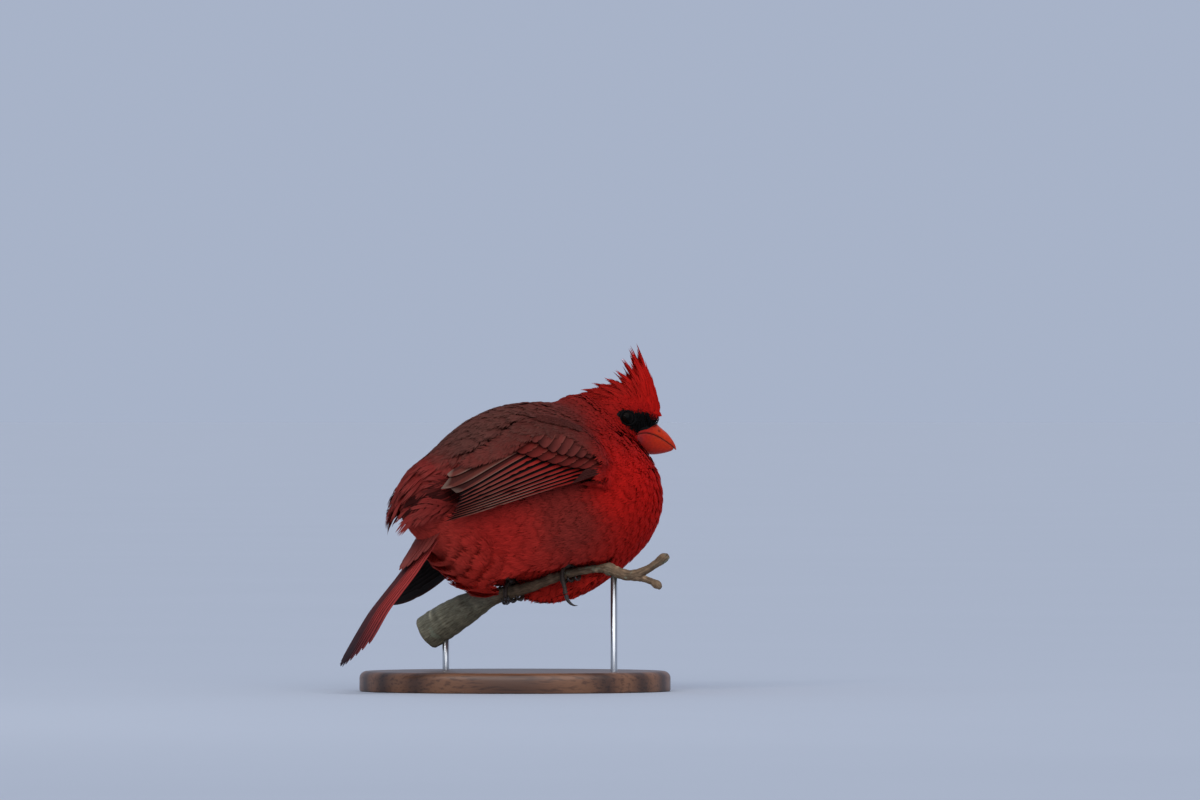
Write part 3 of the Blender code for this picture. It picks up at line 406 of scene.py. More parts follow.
def markings(points):
    """The plumage's colour at points: named tones blended by nearness, then the black mask.

    The mask runs from behind the eye to the bill and under the chin, between two lines over
    the side of the head.
    """
    place = in_body(points)
    place[..., 1] = np.abs(place[..., 1])
    total, weight = 0.0, 0.0
    for spot, tone in PLUMAGE_TONES:
        near = 1 / (((place - spot) ** 2).sum(-1) + 120) ** 2
        total = total + near[..., None] * tone
        weight = weight + near
    colour = total / weight[..., None]
    f, _, u = np.moveaxis(in_head(points), -1, 0)
    inside = np.minimum(np.interp(f, *MASK_TOP) - u, u - np.interp(f, *MASK_LOW))
    inside = np.minimum(inside, (f + 11) * 2)
    mask = np.clip(inside / 0.9 + 0.5, 0, 1) * (np.linalg.norm(in_head(points), axis=-1) < MASK_RADIUS)
    return mixed(colour, srgb(9, 8, 8), mask[..., None])


def grid_faces(rows, columns, closed=False):
    """Quads between a grid's points, counted row by row. closed joins the last column to the first."""
    i, j = np.meshgrid(np.arange(rows - 1), np.arange(columns - (not closed)), indexing="ij")
    k = (j + 1) % columns
    corners = (i * columns + j, i * columns + k, (i + 1) * columns + k, (i + 1) * columns + j)
    return np.stack(corners, -1).reshape(-1, 4)


def over_ball(rings, spokes):
    """Angles from pole to pole and round the axis for the points of a ball's grid."""
    turns = np.linspace(0, 2 * np.pi, spokes + 1)[:-1]
    return np.meshgrid(np.linspace(0, np.pi, rings), turns, indexing="ij")


HEART = from_body((36, 0, 25))
SKIN_RINGS, SKIN_SPOKES = 90, 160
MARCH = 2.0
polar, around = over_ball(SKIN_RINGS, SKIN_SPOKES)
ways = np.stack([np.cos(polar), np.sin(polar) * np.sin(around), np.sin(polar) * np.cos(around)], -1)
ways = ways @ BODY_TURN.T


def inside_skin(points):
    """Whether points lie in the flesh by the coat's depth, and out of the perch's room."""
    depth = COAT_DEPTH + (FACE_DEPTH - COAT_DEPTH) * headness(points)
    return (outside(points) < -depth) & (perch_room(points) > 0.4)


# Each ray from the heart is followed out to where it leaves the skin, then halved nine times
near = np.full(polar.shape, 3.0)
open_ways = np.ones(polar.shape, bool)
for distance in np.arange(5.0, 125.0, MARCH):
    open_ways &= inside_skin(HEART + ways * distance)
    near = np.where(open_ways, distance, near)
far = near + MARCH
for _ in range(9):
    middle = (near + far) / 2
    held = inside_skin(HEART + ways * middle[..., None])
    near = np.where(held, middle, near)
    far = np.where(held, far, middle)
skin_points = HEART + ways * near[..., None]
skin_points[0] = skin_points[0].mean(0)
skin_points[-1] = skin_points[-1].mean(0)
skin_faces = grid_faces(SKIN_RINGS, SKIN_SPOKES, closed=True)[:, ::-1]
row, column = np.divmod(skin_faces, SKIN_SPOKES)
last_column = column.max(1, keepdims=True) == SKIN_SPOKES - 1
column = np.where((column == 0) & last_column, SKIN_SPOKES, column)
skin_patch = np.stack([0.01 + column / SKIN_SPOKES * 0.98, 0.01 + row / (SKIN_RINGS - 1) * 0.98], -1)


def attribute(tree, name, output="Color"):
    """The socket of a value that the mesh keeps at each point."""
    return node(tree, "ShaderNodeAttribute", attribute_name=name).outputs[output]


def blended(tree, way, factor, first, second):
    """Mixes two colours. A factor or colour may be a socket or a value."""
    mix = node(tree, "ShaderNodeMix", data_type="RGBA", blend_type=way)
    for place, value in ((0, factor), (6, first), (7, second)):
        if isinstance(value, bpy.types.NodeSocket):
            tree.links.new(value, mix.inputs[place])
        else:
            mix.inputs[place].default_value = value if place == 0 else (*value, 1)
    return mix.outputs[2]


def embossed(tree, shader, height, strength, distance):
    """Gives a shader a bump from a height socket. The distance is in metres."""
    bump = node(tree, "ShaderNodeBump", Strength=strength, Distance=distance)
    tree.links.new(height, bump.inputs["Height"])
    tree.links.new(bump.outputs["Normal"], shader.inputs["Normal"])


skin_finish, tree, shader = finish_of("skin_under_plumage", 0.8, Specular_IOR_Level=0.2)
tint = attribute(tree, "tint")
down = speckle(tree, object_place(tree), 900, 3.0)
down_tone = graded(tree, down, ((0.3, (0.5, 0.5, 0.5)), (0.7, (0.9, 0.9, 0.9))))
coloured(tree, shader, blended(tree, "MULTIPLY", 1.0, tint, down_tone))
embossed(tree, shader, down, 0.6, 0.0005)
SKIN_SHADE = 0.85
piece(
    "skin", skin_points.reshape(-1, 3), skin_faces, skin_finish, "red_plumage", ("torso", "neck", "head"),
    tint=markings(skin_points.reshape(-1, 3)) * SKIN_SHADE, patch=skin_patch,
)

# The plumage: body feathers in rows over the skin, each a fan of soft flat barbs that overlaps
# the next like a roof tile. They lie back from the bill, down the breast and along the flanks,
# short on the face and long on flanks and rump, and drape over the shoulder of each wing.
STATIONS = 6
PATCH_HALF = 0.0015
SEED_STEP = 7.31
rng = np.random.default_rng(7)


def plume_pattern(barbs, narrow, stations, seed, fringe=0.05, base=0.32, taper=0.8):
    """One plume of unit length: flat tapered barbs that leave the shaft and end on its outline.

    The outline is an ellipse's end whose half width is narrow. A barb is a quadratic curve from
    the shaft to it, with a flat three-sided section along it that tapers to nothing. Returns the
    points (along, across, up), the triangles, each point's share along its barb, and its shade.
    """
    draw = np.random.default_rng(seed)
    half = barbs // 2
    number = np.tile(np.arange(half), 2)
    side = np.repeat([1.0, -1.0], half)
    angle = (number + 0.5 + draw.uniform(-0.3, 0.3, barbs)) / half * np.pi / 2
    end_x = base + (1 - base) * np.sin(angle) + draw.uniform(-1.6, 0.4, barbs) * fringe
    end_y = narrow * np.cos(angle) ** taper
    start = np.maximum(0.02, end_x * 0.85 - 0.25)
    t = np.linspace(0, 1, stations)[None, :] ** 0.75
    run = (end_x - start)[:, None]
    x = start[:, None] + 2 * t * (1 - t) * 0.35 * run + t**2 * run
    y = (2 * t * (1 - t) * 0.72 + t**2) * end_y[:, None]
    lean = np.arctan2(end_y, end_x - start)
    pitch = np.hypot((1 - base) * np.cos(angle) * np.sin(lean), narrow * np.sin(angle) * np.cos(lean))
    swell = np.interp(t, (0, 0.35, 0.7, 1), (0.6, 1, 0.85, 0))
    breadth = 0.72 * np.pi / 2 / half * pitch[:, None] * swell
    dx, dy = np.gradient(x, axis=1), np.gradient(y, axis=1)
    size = np.hypot(dx, dy) + 1e-9
    nx, ny = -dy / size, dx / size
    z = -0.07 * y**2 / narrow + draw.uniform(-0.004, 0.008, (barbs, 1)) + 0.01 * t
    rings = np.stack(
        [
            np.stack([x + nx * breadth, y + ny * breadth, z], -1),
            np.stack([x, y, z + 0.55 * breadth], -1),
            np.stack([x - nx * breadth, y - ny * breadth, z], -1),
        ],
        axis=2,
    )
    rings[..., 1] *= side[:, None, None]
    rings[side < 0] = rings[side < 0][:, :, ::-1]
    count = 3 * (stations - 1) + 1
    points = rings.reshape(barbs, -1, 3)[:, :count]
    share = np.repeat(t[0], 3)[:count]
    faces = [(0, 2, 1)]
    for i in range(stations - 2):
        for p, q in ((0, 1), (1, 2), (2, 0)):
            a, b, c, d = 3 * i + p, 3 * i + q, 3 * i + 3 + q, 3 * i + 3 + p
            faces += [(a, b, c), (a, c, d)]
    last = 3 * (stations - 2)
    faces += [(last, last + 1, count - 1), (last + 1, last + 2, count - 1), (last + 2, last, count - 1)]
    triangles = np.arange(barbs)[:, None, None] * count + np.array(faces)[None]
    shade = np.repeat(draw.uniform(0.9, 1.1, barbs), count)
    return points.reshape(-1, 3), triangles.reshape(-1, 3), np.tile(share, barbs), shade


BILL_ROOT = (13, 0, -4)


def lie_at(points):
    """The way the plumage lies: away from the bill on the head, back and down on the body."""
    from_bill = unit(points - from_head(BILL_ROOT))
    local = in_body(points)
    fall = 0.3 + 0.9 * np.clip((local[..., 0] - 20) / 40, 0, 1)
    back = np.stack([-np.ones_like(fall), 0 * fall, -fall], -1) @ BODY_TURN.T
    from_bill += np.clip((in_head(points)[..., 2:] - 1) / 8, 0, 1) * HEAD_TURN[:, 2] * 0.7
    share = headness(points)[..., None]
    away = np.linalg.norm(points - from_head(BILL_ROOT), axis=-1)
    share = np.maximum(share, np.exp(-(away[..., None] / 30) ** 2))
    return mixed(back, from_bill, share)


def laid_on(ways, normal, least=0.0):
    """Directions with what they have along a normal taken away, at unit length."""
    return unit(ways - (ways * normal).sum(-1, keepdims=True) * normal, least)


def combed(roots, length, lift, lean, form, depth):
    """Centre lines of feathers that lie along the coat, with their normals and side directions.

    Each line steps along the lie, kept on a form at a level that rises from depth under it at
    the root to lift over it at the tip. lean turns it a little, in radians.
    """
    spot, normal = settled(roots, -depth, form)
    lines, normals, sides = [], [], []
    way = None
    for step in range(STATIONS):
        lie = laid_on(lie_at(spot), normal, 1e-9)
        lie = lie * np.cos(lean)[:, None] + np.cross(normal, lie) * np.sin(lean)[:, None]
        way = laid_on(lie if way is None else way * 0.5 + lie * 0.5, normal, 1e-9)
        lines.append(spot)
        normals.append(normal)
        sides.append(np.cross(normal, way))
        share = min((step + 1) / (STATIONS - 1), 1)
        level = -depth * (1 - share) ** 2 + lift * share**2
        spot, normal = settled(spot + way * length[:, None] / (STATIONS - 1), level, form)
    return np.stack(lines, 1), np.stack(normals, 1), np.stack(sides, 1)


def kept_clear(lines, normals, sides, length):
    """Feathers cut back to end short of the perch, with those left out that start at it."""
    room_left = perch_gap(lines) > 0
    free = np.cumprod(room_left, axis=1).sum(1)
    share = np.clip((free - 1) / (STATIONS - 1), 0, 1)
    good = share > 0.3
    place = share[:, None] * np.linspace(0, STATIONS - 1, STATIONS)[None, :]
    low = np.minimum(place.astype(int), STATIONS - 2)
    t = (place - low)[..., None]
    picked = []
    for values in (lines, normals, sides):
        first = np.take_along_axis(values, low[..., None], 1)
        second = np.take_along_axis(values, low[..., None] + 1, 1)
        picked.append(mixed(first, second, t)[good])
    return (*picked, (length * share)[good], good)


def grown(
    name, lines, normals, sides, length, patterns, tone, root_patch, finish,
    root_dark=0.94, tip_tone=None, slot="red_plumage", nodes=(),
):
    """One piece of many plumes: each pattern bent along its centre line and scaled to its length.

    A point of the pattern lies at its share along the line, then across by the side direction
    and up by the normal, both interpolated between the line's stations. tip_tone is a colour
    and a strength for each plume, which the ends of its barbs take on.
    """
    found = {key: [] for key in ("points", "faces", "tint", "lie", "patch", "coat")}
    base = 0
    kind = np.arange(len(lines)) % len(patterns)
    for index, (points, faces, share, barb_shade) in enumerate(patterns):
        chosen = np.flatnonzero(kind == index)
        if not len(chosen):
            continue
        place = np.clip(points[:, 0], 0, 1.02) * (STATIONS - 1)
        low = np.clip(place.astype(int), 0, STATIONS - 2)
        weight = np.zeros((len(points), STATIONS))
        weight[np.arange(len(points)), low] = 1 - (place - low)
        weight[np.arange(len(points)), low + 1] = place - low
        size = length[chosen][:, None, None]
        middle, beside, facing = (
            np.einsum("vm,nmk->nvk", weight, values[chosen]) for values in (lines, sides, normals)
        )
        spots = middle + beside * points[:, 1][None, :, None] * size
        spots = spots + facing * points[:, 2][None, :, None] * size
        shade = (root_dark + (1 - root_dark) * np.clip(points[:, 0] * 1.6 - 0.2, 0, 1)) * barb_shade
        colour = tone[chosen][:, None, :] * shade[None, :, None]
        if tip_tone is not None:
            edge = np.clip(points[:, 0] * 2.2 - 1.1, 0, 1) * share**1.5
            edge = edge[None, :, None] * tip_tone[1][chosen][:, None, None]
            colour = mixed(colour, tip_tone[0][chosen][:, None, :], edge)
        lie = np.stack(np.broadcast_arrays(
            points[:, 0] * size[..., 0], points[:, 1] * size[..., 0], (chosen * SEED_STEP)[:, None]
        ), -1)
        across = points[:, 1] / (np.abs(points[:, 1]).max() + 1e-9)
        spread = np.stack([across, points[:, 0] * 2 - 1], -1) * PATCH_HALF
        patch = np.clip(root_patch[chosen], 0.01, 0.99)[:, None, :] + spread[None]
        corner = (faces[None] + (np.arange(len(chosen)) * len(points))[:, None, None]).reshape(-1, 3)
        found["points"].append(spots.reshape(-1, 3))
        found["faces"].append(corner + base)
        found["tint"].append(colour.reshape(-1, 3))
        found["lie"].append(lie.reshape(-1, 3))
        found["patch"].append(patch.reshape(-1, 2)[corner])
        found["coat"].append(facing.reshape(-1, 3))
        base += len(chosen) * len(points)
    whole = {key: np.concatenate(values) for key, values in found.items()}
    piece(name, whole.pop("points"), whole.pop("faces"), finish, slot, nodes, **whole)


def plumage_finish(name, streak, roughness):
    """Feather: each piece's own tint, streaked along the barbs, with a faint gloss."""
    made, tree, shader = finish_of(name, roughness, Specular_IOR_Level=0.04)
    tint = attribute(tree, "tint")
    lie = attribute(tree, "lie", "Vector")
    fine = speckle(tree, lie, 1.0, 3.0, stretch=(0.35, 7.0, 1.0))
    tone = graded(tree, fine, ((0.25, (1 - streak,) * 3), (0.75, (1 + streak,) * 3)))
    streaked = blended(tree, "MULTIPLY", 1.0, tint, tone)
    patchy = speckle(tree, object_place(tree), 160, 3.0)
    cloud = graded(tree, patchy, ((0.3, (0.9, 0.89, 0.89)), (0.7, (1.09, 1.07, 1.06))))
    coloured(tree, shader, blended(tree, "MULTIPLY", 1.0, streaked, cloud))
    embossed(tree, shader, fine, 0.35, 0.0002)
    # A barb's underside turns the coat's normal round to face its own way
    facing = node(tree, "ShaderNodeNewGeometry")
    with_face = node(tree, "ShaderNodeVectorMath", operation="DOT_PRODUCT")
    tree.links.new(facing.outputs["True Normal"], with_face.inputs[0])
    tree.links.new(facing.outputs["Normal"], with_face.inputs[1])
    way = node(tree, "ShaderNodeMath", operation="SIGN")
    tree.links.new(with_face.outputs["Value"], way.inputs[0])
    turned_out = node(tree, "ShaderNodeVectorMath", operation="SCALE")
    tree.links.new(facing.outputs["Normal"], turned_out.inputs[0])
    tree.links.new(way.outputs[0], turned_out.inputs["Scale"])
    bump = shader.inputs["Normal"].links[0].from_node
    tree.links.new(turned_out.outputs["Vector"], bump.inputs["Normal"])
    return made


body_finish = plumage_finish("body_plumage", 0.22, 0.65)


def run_along(line):
    """How far each point of a line lies along it from its start, in mm."""
    return np.concatenate([[0], np.cumsum(np.linalg.norm(np.diff(line, axis=0), axis=1))])


def rows_on(group, row_gap, side_gap, seed):
    """Roots in rings round a group of lobes, staggered from ring to ring like roof tiles.

    Rings follow the group's forward axis at even steps along its profile, and each ring has
    as many roots as its girth takes. Returns the points and their places on a flat map.
    """
    centre, turn, lobes = group
    draw = np.random.default_rng(seed)
    angle = np.linspace(0.02, np.pi - 0.02, 400)
    profile = np.stack([np.cos(angle), 0 * angle, np.sin(angle)], -1)
    outline = profile * lobed_reach(profile, lobes)[:, None]
    run = run_along(outline)
    spots, maps = [], []
    for number, at in enumerate(np.arange(row_gap / 2, run[-1], row_gap)):
        theta = np.interp(at, run, angle)
        girth = 2 * np.pi * abs(np.interp(at, run, outline[:, 2]))
        count = max(int(girth / side_gap), 3)
        share = (np.arange(count) + 0.5 * (number % 2) + draw.uniform(-0.4, 0.4, count)) / count
        tilt = theta + draw.uniform(-0.5, 0.5, count) * row_gap / 45
        spoke = 2 * np.pi * share
        way = np.stack([np.cos(tilt), np.sin(tilt) * np.sin(spoke), np.sin(tilt) * np.cos(spoke)], -1)
        spots.append(centre + (way * lobed_reach(way, lobes)[:, None]) @ turn.T)
        maps.append(np.stack([0.01 + 0.98 * (share % 1), 0.01 + 0.98 * tilt / np.pi], -1))
    return np.concatenate(spots), np.concatenate(maps)


# The wings' own places, which the coat drapes over: the oval side of the body that they lie on,
# the wrist that the far wing is turned down about, its shift, and a folded wing's outline
WING_SIDE_CENTRE = (-2, 0, -4)
WING_SIDE_HALF = (69, 42, 50)
FLATTEST = 0.05
WRIST = (16, 16)
FAR_DROOP = np.radians(18)
FAR_SHIFT = (-7.5, -16)
WING_EDGE = (
    (22, 9), (22, 20), (12, 29), (-4, 37), (-18, 38), (-34, 30), (-58, 15), (-62, 6),
    (-60, -9), (-30, -1), (0, 8), (6, 6.5), (13, 5.5),
)


def side_width(a, c):
    """Half the width, in mm, of the oval side of the body that a wing lies on, at (a, c)."""
    (ca, _, cc), (ha, hb, hc) = WING_SIDE_CENTRE, WING_SIDE_HALF
    inner = 1 - ((a - ca) / ha) ** 2 - ((c - cc) / hc) ** 2
    return hb * np.sqrt(np.maximum(inner, FLATTEST))


def far_place(a, c):
    """Where a place of the near wing lies on the far one: turned down about its wrist, shifted."""
    cos, sin = np.cos(FAR_DROOP), np.sin(FAR_DROOP)
    da, dc = a - WRIST[0], c - WRIST[1]
    return WRIST[0] + da * cos - dc * sin + FAR_SHIFT[0], WRIST[1] + da * sin + dc * cos + FAR_SHIFT[1]


def near_place(a, c):
    """Where a place of the far wing would lie on the near one: far_place the other way round."""
    cos, sin = np.cos(FAR_DROOP), np.sin(FAR_DROOP)
    da, dc = a - WRIST[0] - FAR_SHIFT[0], c - WRIST[1] - FAR_SHIFT[1]
    return WRIST[0] + da * cos + dc * sin, WRIST[1] - da * sin + dc * cos


def sunk(side, u, v):
    """How much nearer the body a wing lies at (u, v), in mm: its wrist and upper edge slope in."""
    top = np.interp(u, (-58, -34, -18, -4, 12, 22), (15, 30, 38, 37, 29, 20))
    deepest = 4.0 if side < 0 else 6.0
    return 0.5 * np.maximum(u - 7, 0) + deepest * np.clip(1 - (top - v) / 14, 0, 1.2) ** 1.5


def beside_wing(points, side):
    """Distances in mm outside a wing's outline, seen from its side, and over the wing's back."""
    local = in_body(points)
    a, b, c = local[..., 0], local[..., 1] * side, local[..., 2]
    u, v = near_place(a, c) if side > 0 else (a, c)
    least = np.full(a.shape, 1e9)
    inside = np.zeros(a.shape, bool)
    for (u0, v0), (u1, v1) in zip(WING_EDGE, WING_EDGE[1:] + WING_EDGE[:1]):
        du, dv = u1 - u0, v1 - v0
        t = np.clip(((u - u0) * du + (v - v0) * dv) / (du**2 + dv**2), 0, 1)
        least = np.minimum(least, np.hypot(u - u0 - t * du, v - v0 - t * dv))
        inside ^= ((v0 > v) != (v1 > v)) & (u < du * (v - v0) / (dv + 1e-9) + u0)
    over = v - np.interp(u, (-36.5, -21, -5, 3.2), (22, 17, 13.8, 13.2))
    rise = 1.6 + 3.2 * np.clip(over / 5, 0, 1) + 1.2 * np.clip((u - 3) / 4, 0, 1)
    rise = rise - sunk(side, u, v)
    (ca, _, cc), (ha, hb, hc) = WING_SIDE_CENTRE, WING_SIDE_HALF
    room = 1 - ((a - ca) / (ha + rise)) ** 2 - ((c - cc) / (hc + rise)) ** 2
    if side > 0:
        held = 1 - ((0.8 * u - ca) / (ha + rise)) ** 2 - ((v - cc) / (hc + rise)) ** 2
        room = np.maximum(room, held)
    room = np.sqrt(np.maximum(room, FLATTEST))
    # The wing's slab stops 4 mm from the body's middle, and further out below c = -20
    inner_end = 4 - b + 8 * np.maximum(-20 - c, 0)
    return np.where(inside, -least, least), np.maximum((b - (hb + rise) * room) * room, inner_end)


COAT_BLEND = 1.2


def coated(points):
    """How far points lie outside the flesh together with both wings' backs, in mm."""
    total = np.exp(-outside(points) / COAT_BLEND)
    for side in (-1, 1):
        outline, back = (np.exp(np.clip(away / COAT_BLEND, -30, 30)) for away in beside_wing(points, side))
        wing = COAT_BLEND * np.log(outline + back)
        total = total + np.exp(-wing / COAT_BLEND)
    return -COAT_BLEND * np.log(total)


def staggered(edge, count, row):
    """Places (a, c) along an edge, a little uneven, each row half a place on from the last."""
    last = len(edge) - 1
    at = (np.arange(count) + 0.5 * (row % 2) + rng.uniform(-0.2, 0.2, count)) / count * last
    return (np.interp(at, np.arange(len(edge)), edge[:, k]) for k in (0, 1))


def on_side(side, a, c):
    """Roots over a wing's side of the body at (a, c), and their places on the map."""
    spots = from_body(np.stack([a, side * (side_width(a, c) + 6), c], -1))
    return spots, np.stack([0.5 + side * 0.25 + a / 900, 0.3 - c / 900], -1)


roots, maps = rows_on(FLESH[0], 2.9, 3.1, 11)
groups = [np.zeros(len(roots), int)]
for group, (row_gap, side_gap) in ((1, (1.9, 2.1)), (2, (1.45, 1.5))):
    more, more_maps = rows_on(FLESH[group], row_gap, side_gap, 11 + group)
    roots = np.vstack([roots, more])
    maps = np.vstack([maps, more_maps])
    groups.append(np.full(len(more), group))
more, more_maps = rows_on(FLESH[0], 2.9, 3.0, 99)
front = in_body(more)[:, 0] > 12
roots, maps = np.vstack([roots, more[front]]), np.vstack([maps, more_maps[front]])
groups.append(np.zeros(front.sum(), int))
# Shoulder feathers root on the wings' own backs, in rows along their upper edges, and more of
# them stand in front of each wing and lap over its folded wrist
TORSO, NECK, CROWN, SHOULDER = range(4)
UPPER_COUNT, FRONT_COUNT = 22, 12
upper_edge = smooth_line(((18, 23), (8, 31), (-6, 36.5), (-18, 37), (-32, 30), (-46, 22)), 200)
front_edge = smooth_line(((15.5, 9), (21, 12), (22.5, 18), (19, 25), (10, 31.5)), 200)
added = []
for side in (-1, 1):
    for row, inward in enumerate((-1.4, 1.0, 3.2, 5.4)):
        u, v = staggered(upper_edge, UPPER_COUNT, row)
        inward = inward * np.interp(u, (-50, -36, -18, -8, 2), (0, 0.4, 1, 0.8, 0.2))
        u, v = u - 0.5 * inward, v - 0.85 * inward
        added.append(on_side(side, *(far_place(u, v) if side > 0 else (u, v))))
for side in (-1, 1):
    for row, inward in enumerate((-2.6, 0.0, 2.6, 5.2)):
        a, c = staggered(front_edge, FRONT_COUNT, row)
        added.append(on_side(side, np.maximum(a - inward, 12), c - 0.12 * inward))
roots = np.vstack([roots, *(spots for spots, _ in added)])
maps = np.vstack([maps, *(places for _, places in added)])
groups.append(np.full(len(roots) - sum(len(some) for some in groups), SHOULDER))
group = np.concatenate(groups)
face = in_head(roots)
local = in_body(roots)
outlines = np.stack([beside_wing(roots, side)[0] for side in (-1, 1)])
wing_side = (local[:, 1] > 0).astype(int)
outline = outlines[wing_side, np.arange(len(roots))]
below = local[:, 2] < np.interp(local[:, 0], (-61, -30, 4, 10, 11, 30), (-4, 8, 15, 17, 4, 4))
below &= np.abs(local[:, 1]) > 10
eye_gap = np.linalg.norm((face - (-3, 0, -1.2)) * (1, 0, 1), axis=1)
by_eye = (np.abs(face[:, 1]) > 6) & (eye_gap < 4.2) & (group == CROWN)
bill_top = np.interp(face[:, 0], (5.6, 6.9, 11, 16), (-5.8, -2.6, -0.4, 2.2))
bill_back = np.interp(face[:, 2], (-13.5, -5.8, 0), (9.6, 5.6, 5.6))
at_bill = (face[:, 0] > bill_back) & (face[:, 2] < bill_top) & (face[:, 2] > -13.5) & (group > 0)
hidden = (outline < -0.5) & (np.abs(local[:, 1]) > 10) & (group == TORSO)
hidden &= (local[:, 0] < 11) & (local[:, 0] > -60)
keep = ((outside(roots) > -1.9) | (group == SHOULDER)) & ~by_eye & ~at_bill & ~hidden
roots, maps, group, local, below, outline = (v[keep] for v in (roots, maps, group, local, below, outline))
tucked = below | ((outline < 1.0) & (group == TORSO) & (local[:, 0] < -40))
on_head = headness(roots)
# Lengths in mm: long towards the rump, short on the face and longer again over the crown
longest = 12.5 - 1.5 * np.clip((local[:, 0] - 10) / 40, 0, 1) + 2.5 * np.clip((-local[:, 0] - 10) / 40, 0, 1)
near_bill = np.linalg.norm(in_head(roots) - (12, 0, -3), axis=1)
short = 2.3 + 4.6 * np.clip((near_bill - 4) / 20, 0, 1) + 2.2 * np.clip((in_head(roots)[:, 2] - 3) / 5, 0, 1)
over, height, radius, _ = by_twig(roots)
by_perch = (over < radius + 3) & (height > 0) & (height < radius + 16)
length = mixed(longest, short, on_head) * rng.uniform(0.86, 1.14, len(roots)) * (1 + 0.25 * by_perch)
lean = rng.normal(0, 0.13, len(roots))
lift = rng.uniform(-0.25, 0.25, len(roots)) * (1 - 0.6 * on_head)
depth = COAT_DEPTH + (FACE_DEPTH - COAT_DEPTH) * on_head
depth = np.where(group == SHOULDER, 1.4, np.minimum(depth, 3.0))
shapes = [np.zeros((len(roots), STATIONS, 3)) for _ in range(3)]
for chosen, form in ((tucked, outside), (~tucked, coated)):
    found = combed(roots[chosen], length[chosen], lift[chosen], lean[chosen], form, depth[chosen])
    for whole, some in zip(shapes, found):
        whole[chosen] = some
height = np.minimum(np.abs(coated(shapes[0][:, -1])), np.abs(outside(shapes[0][:, -1])))
length = np.where(height < 2.5, length, 0.0)
lines, normals, sides, length, good = kept_clear(*shapes, length)
good[good] &= length > 0.5
lines, normals, sides, length = (v[length > 0.5] for v in (lines, normals, sides, length))
roots, maps, group, on_head, local = roots[good], maps[good], group[good], on_head[good], local[good]
tone = markings(lines[:, 3]) * rng.uniform(0.93, 1.07, (len(roots), 1))
fringe_tone = np.tile(srgb(112, 78, 68), (len(roots), 1))
grey = np.clip(local[:, 2] / 22 - 0.6, 0, 1) * np.clip((24 - local[:, 0]) / 14, 0, 1) * (1 - on_head)
fringe = mixed(tone * 1.15, fringe_tone, grey[:, None])
fringe_share = 0.25 + 0.25 * grey
contour = [plume_pattern(22, 0.30, 3, 100 + k, fringe=0.1) for k in range(8)]
small = [plume_pattern(12, 0.32, 3, 200 + k, fringe=0.12) for k in range(8)]
near_head = (group == NECK) | (group == CROWN) | (on_head > 0.6)
parts = {
    "plumage_face": near_head & (in_head(roots)[:, 0] > -2),
    "plumage_hindhead": near_head & (in_head(roots)[:, 0] <= -2),
}
rest = ~near_head
for name, low, high in (
    ("breast", 36, 90), ("shoulder", 16, 36), ("middle", -6, 16), ("loin", -30, -6), ("rear", -90, -30),
):
    band = rest & (local[:, 0] >= low) & (local[:, 0] < high)
    parts["plumage_" + name + "_upper"] = band & (local[:, 2] >= 0)
    parts["plumage_" + name + "_lower"] = band & (local[:, 2] < 0)
for name, chosen in parts.items():
    grown(
        name, lines[chosen], normals[chosen], sides[chosen], length[chosen],
        small if name in ("plumage_face", "plumage_hindhead") else contour, tone[chosen], maps[chosen],
        body_finish, tip_tone=(fringe[chosen], fringe_share[chosen]),
    )

# The belly behind the perch: feathers that hang down the far wall of the room that the belly
# leaves for it, in that wall's plane, and short ones that line the roof over it. They are the
# same soft body feathers, each cut off where it would come out of the flesh or meet the bark.
draw = np.random.default_rng(31)
starts, ways, lengths = [], [], []
across = np.array([TWIG_SIN, TWIG_COS, 0.0])


def on_twig(x):
    """The twig's middle and its radius at x, in mm."""
    spot = np.stack([np.interp(x, twig[:, 0], twig[:, k]) for k in range(4)], -1)
    return spot[..., :3], spot[..., 3]


for height in np.arange(6.0, -19.0, -3.0):
    x = np.arange(-14, 62, 3.2)
    x = x + draw.uniform(-0.8, 0.8, len(x))
    spot, radius = on_twig(x)
    starts.append(spot + across * (radius + 2.2 + 2.6 * under_flank(x))[:, None] + (0, 0, height))
    ways.append(np.tile((-0.55, 0.1, -0.8), (len(x), 1)) + draw.normal(0, 0.1, (len(x), 3)))
    lengths.append(draw.uniform(8.5, 11, len(x)))
for over in (-15.0, -12.0, -9.0, -6.0, -3.0, 0.0, 3.0):
    x = np.arange(-8, 62, 3.4)
    x = x + draw.uniform(-0.8, 0.8, len(x))
    spot, radius = on_twig(x)
    high = radius + 1.4 + under_flank(x) * np.interp(over, ROOF_PLACES, SKIN_ROOF)
    starts.append(spot + across * over + np.stack([0 * x, 0 * x, high], -1))
    ways.append(np.tile((-0.8, 0.1, -0.35), (len(x), 1)) + draw.normal(0, 0.1, (len(x), 3)))
    lengths.append(draw.uniform(7, 9, len(x)))
start, way, length = np.concatenate(starts), unit(np.concatenate(ways)), np.concatenate(lengths)
held = (outside(start) < -1.0) & (outside(start) > -24)
start, way, length = start[held], way[held], length[held]
share = np.linspace(0, 1, STATIONS)[None, :, None]
lines = start[:, None] + way[:, None] * length[:, None, None] * share - across * 1.3 * share**1.5
normals = laid_on(np.tile(-across + (0, 0, -0.25), (len(start), STATIONS, 1)), way[:, None])
sides = np.cross(normals, way[:, None])
deep = outside(lines)
reach = np.clip(1 - np.maximum(deep[:, -1] - 0.6, 0) / np.maximum(deep[:, -1] - deep[:, 0], 1e-3), 0.3, 1)
lines = lines[:, :1] + (lines - lines[:, :1]) * reach[:, None, None]
lines, normals, sides, length, _ = kept_clear(lines, normals, sides, length * reach)
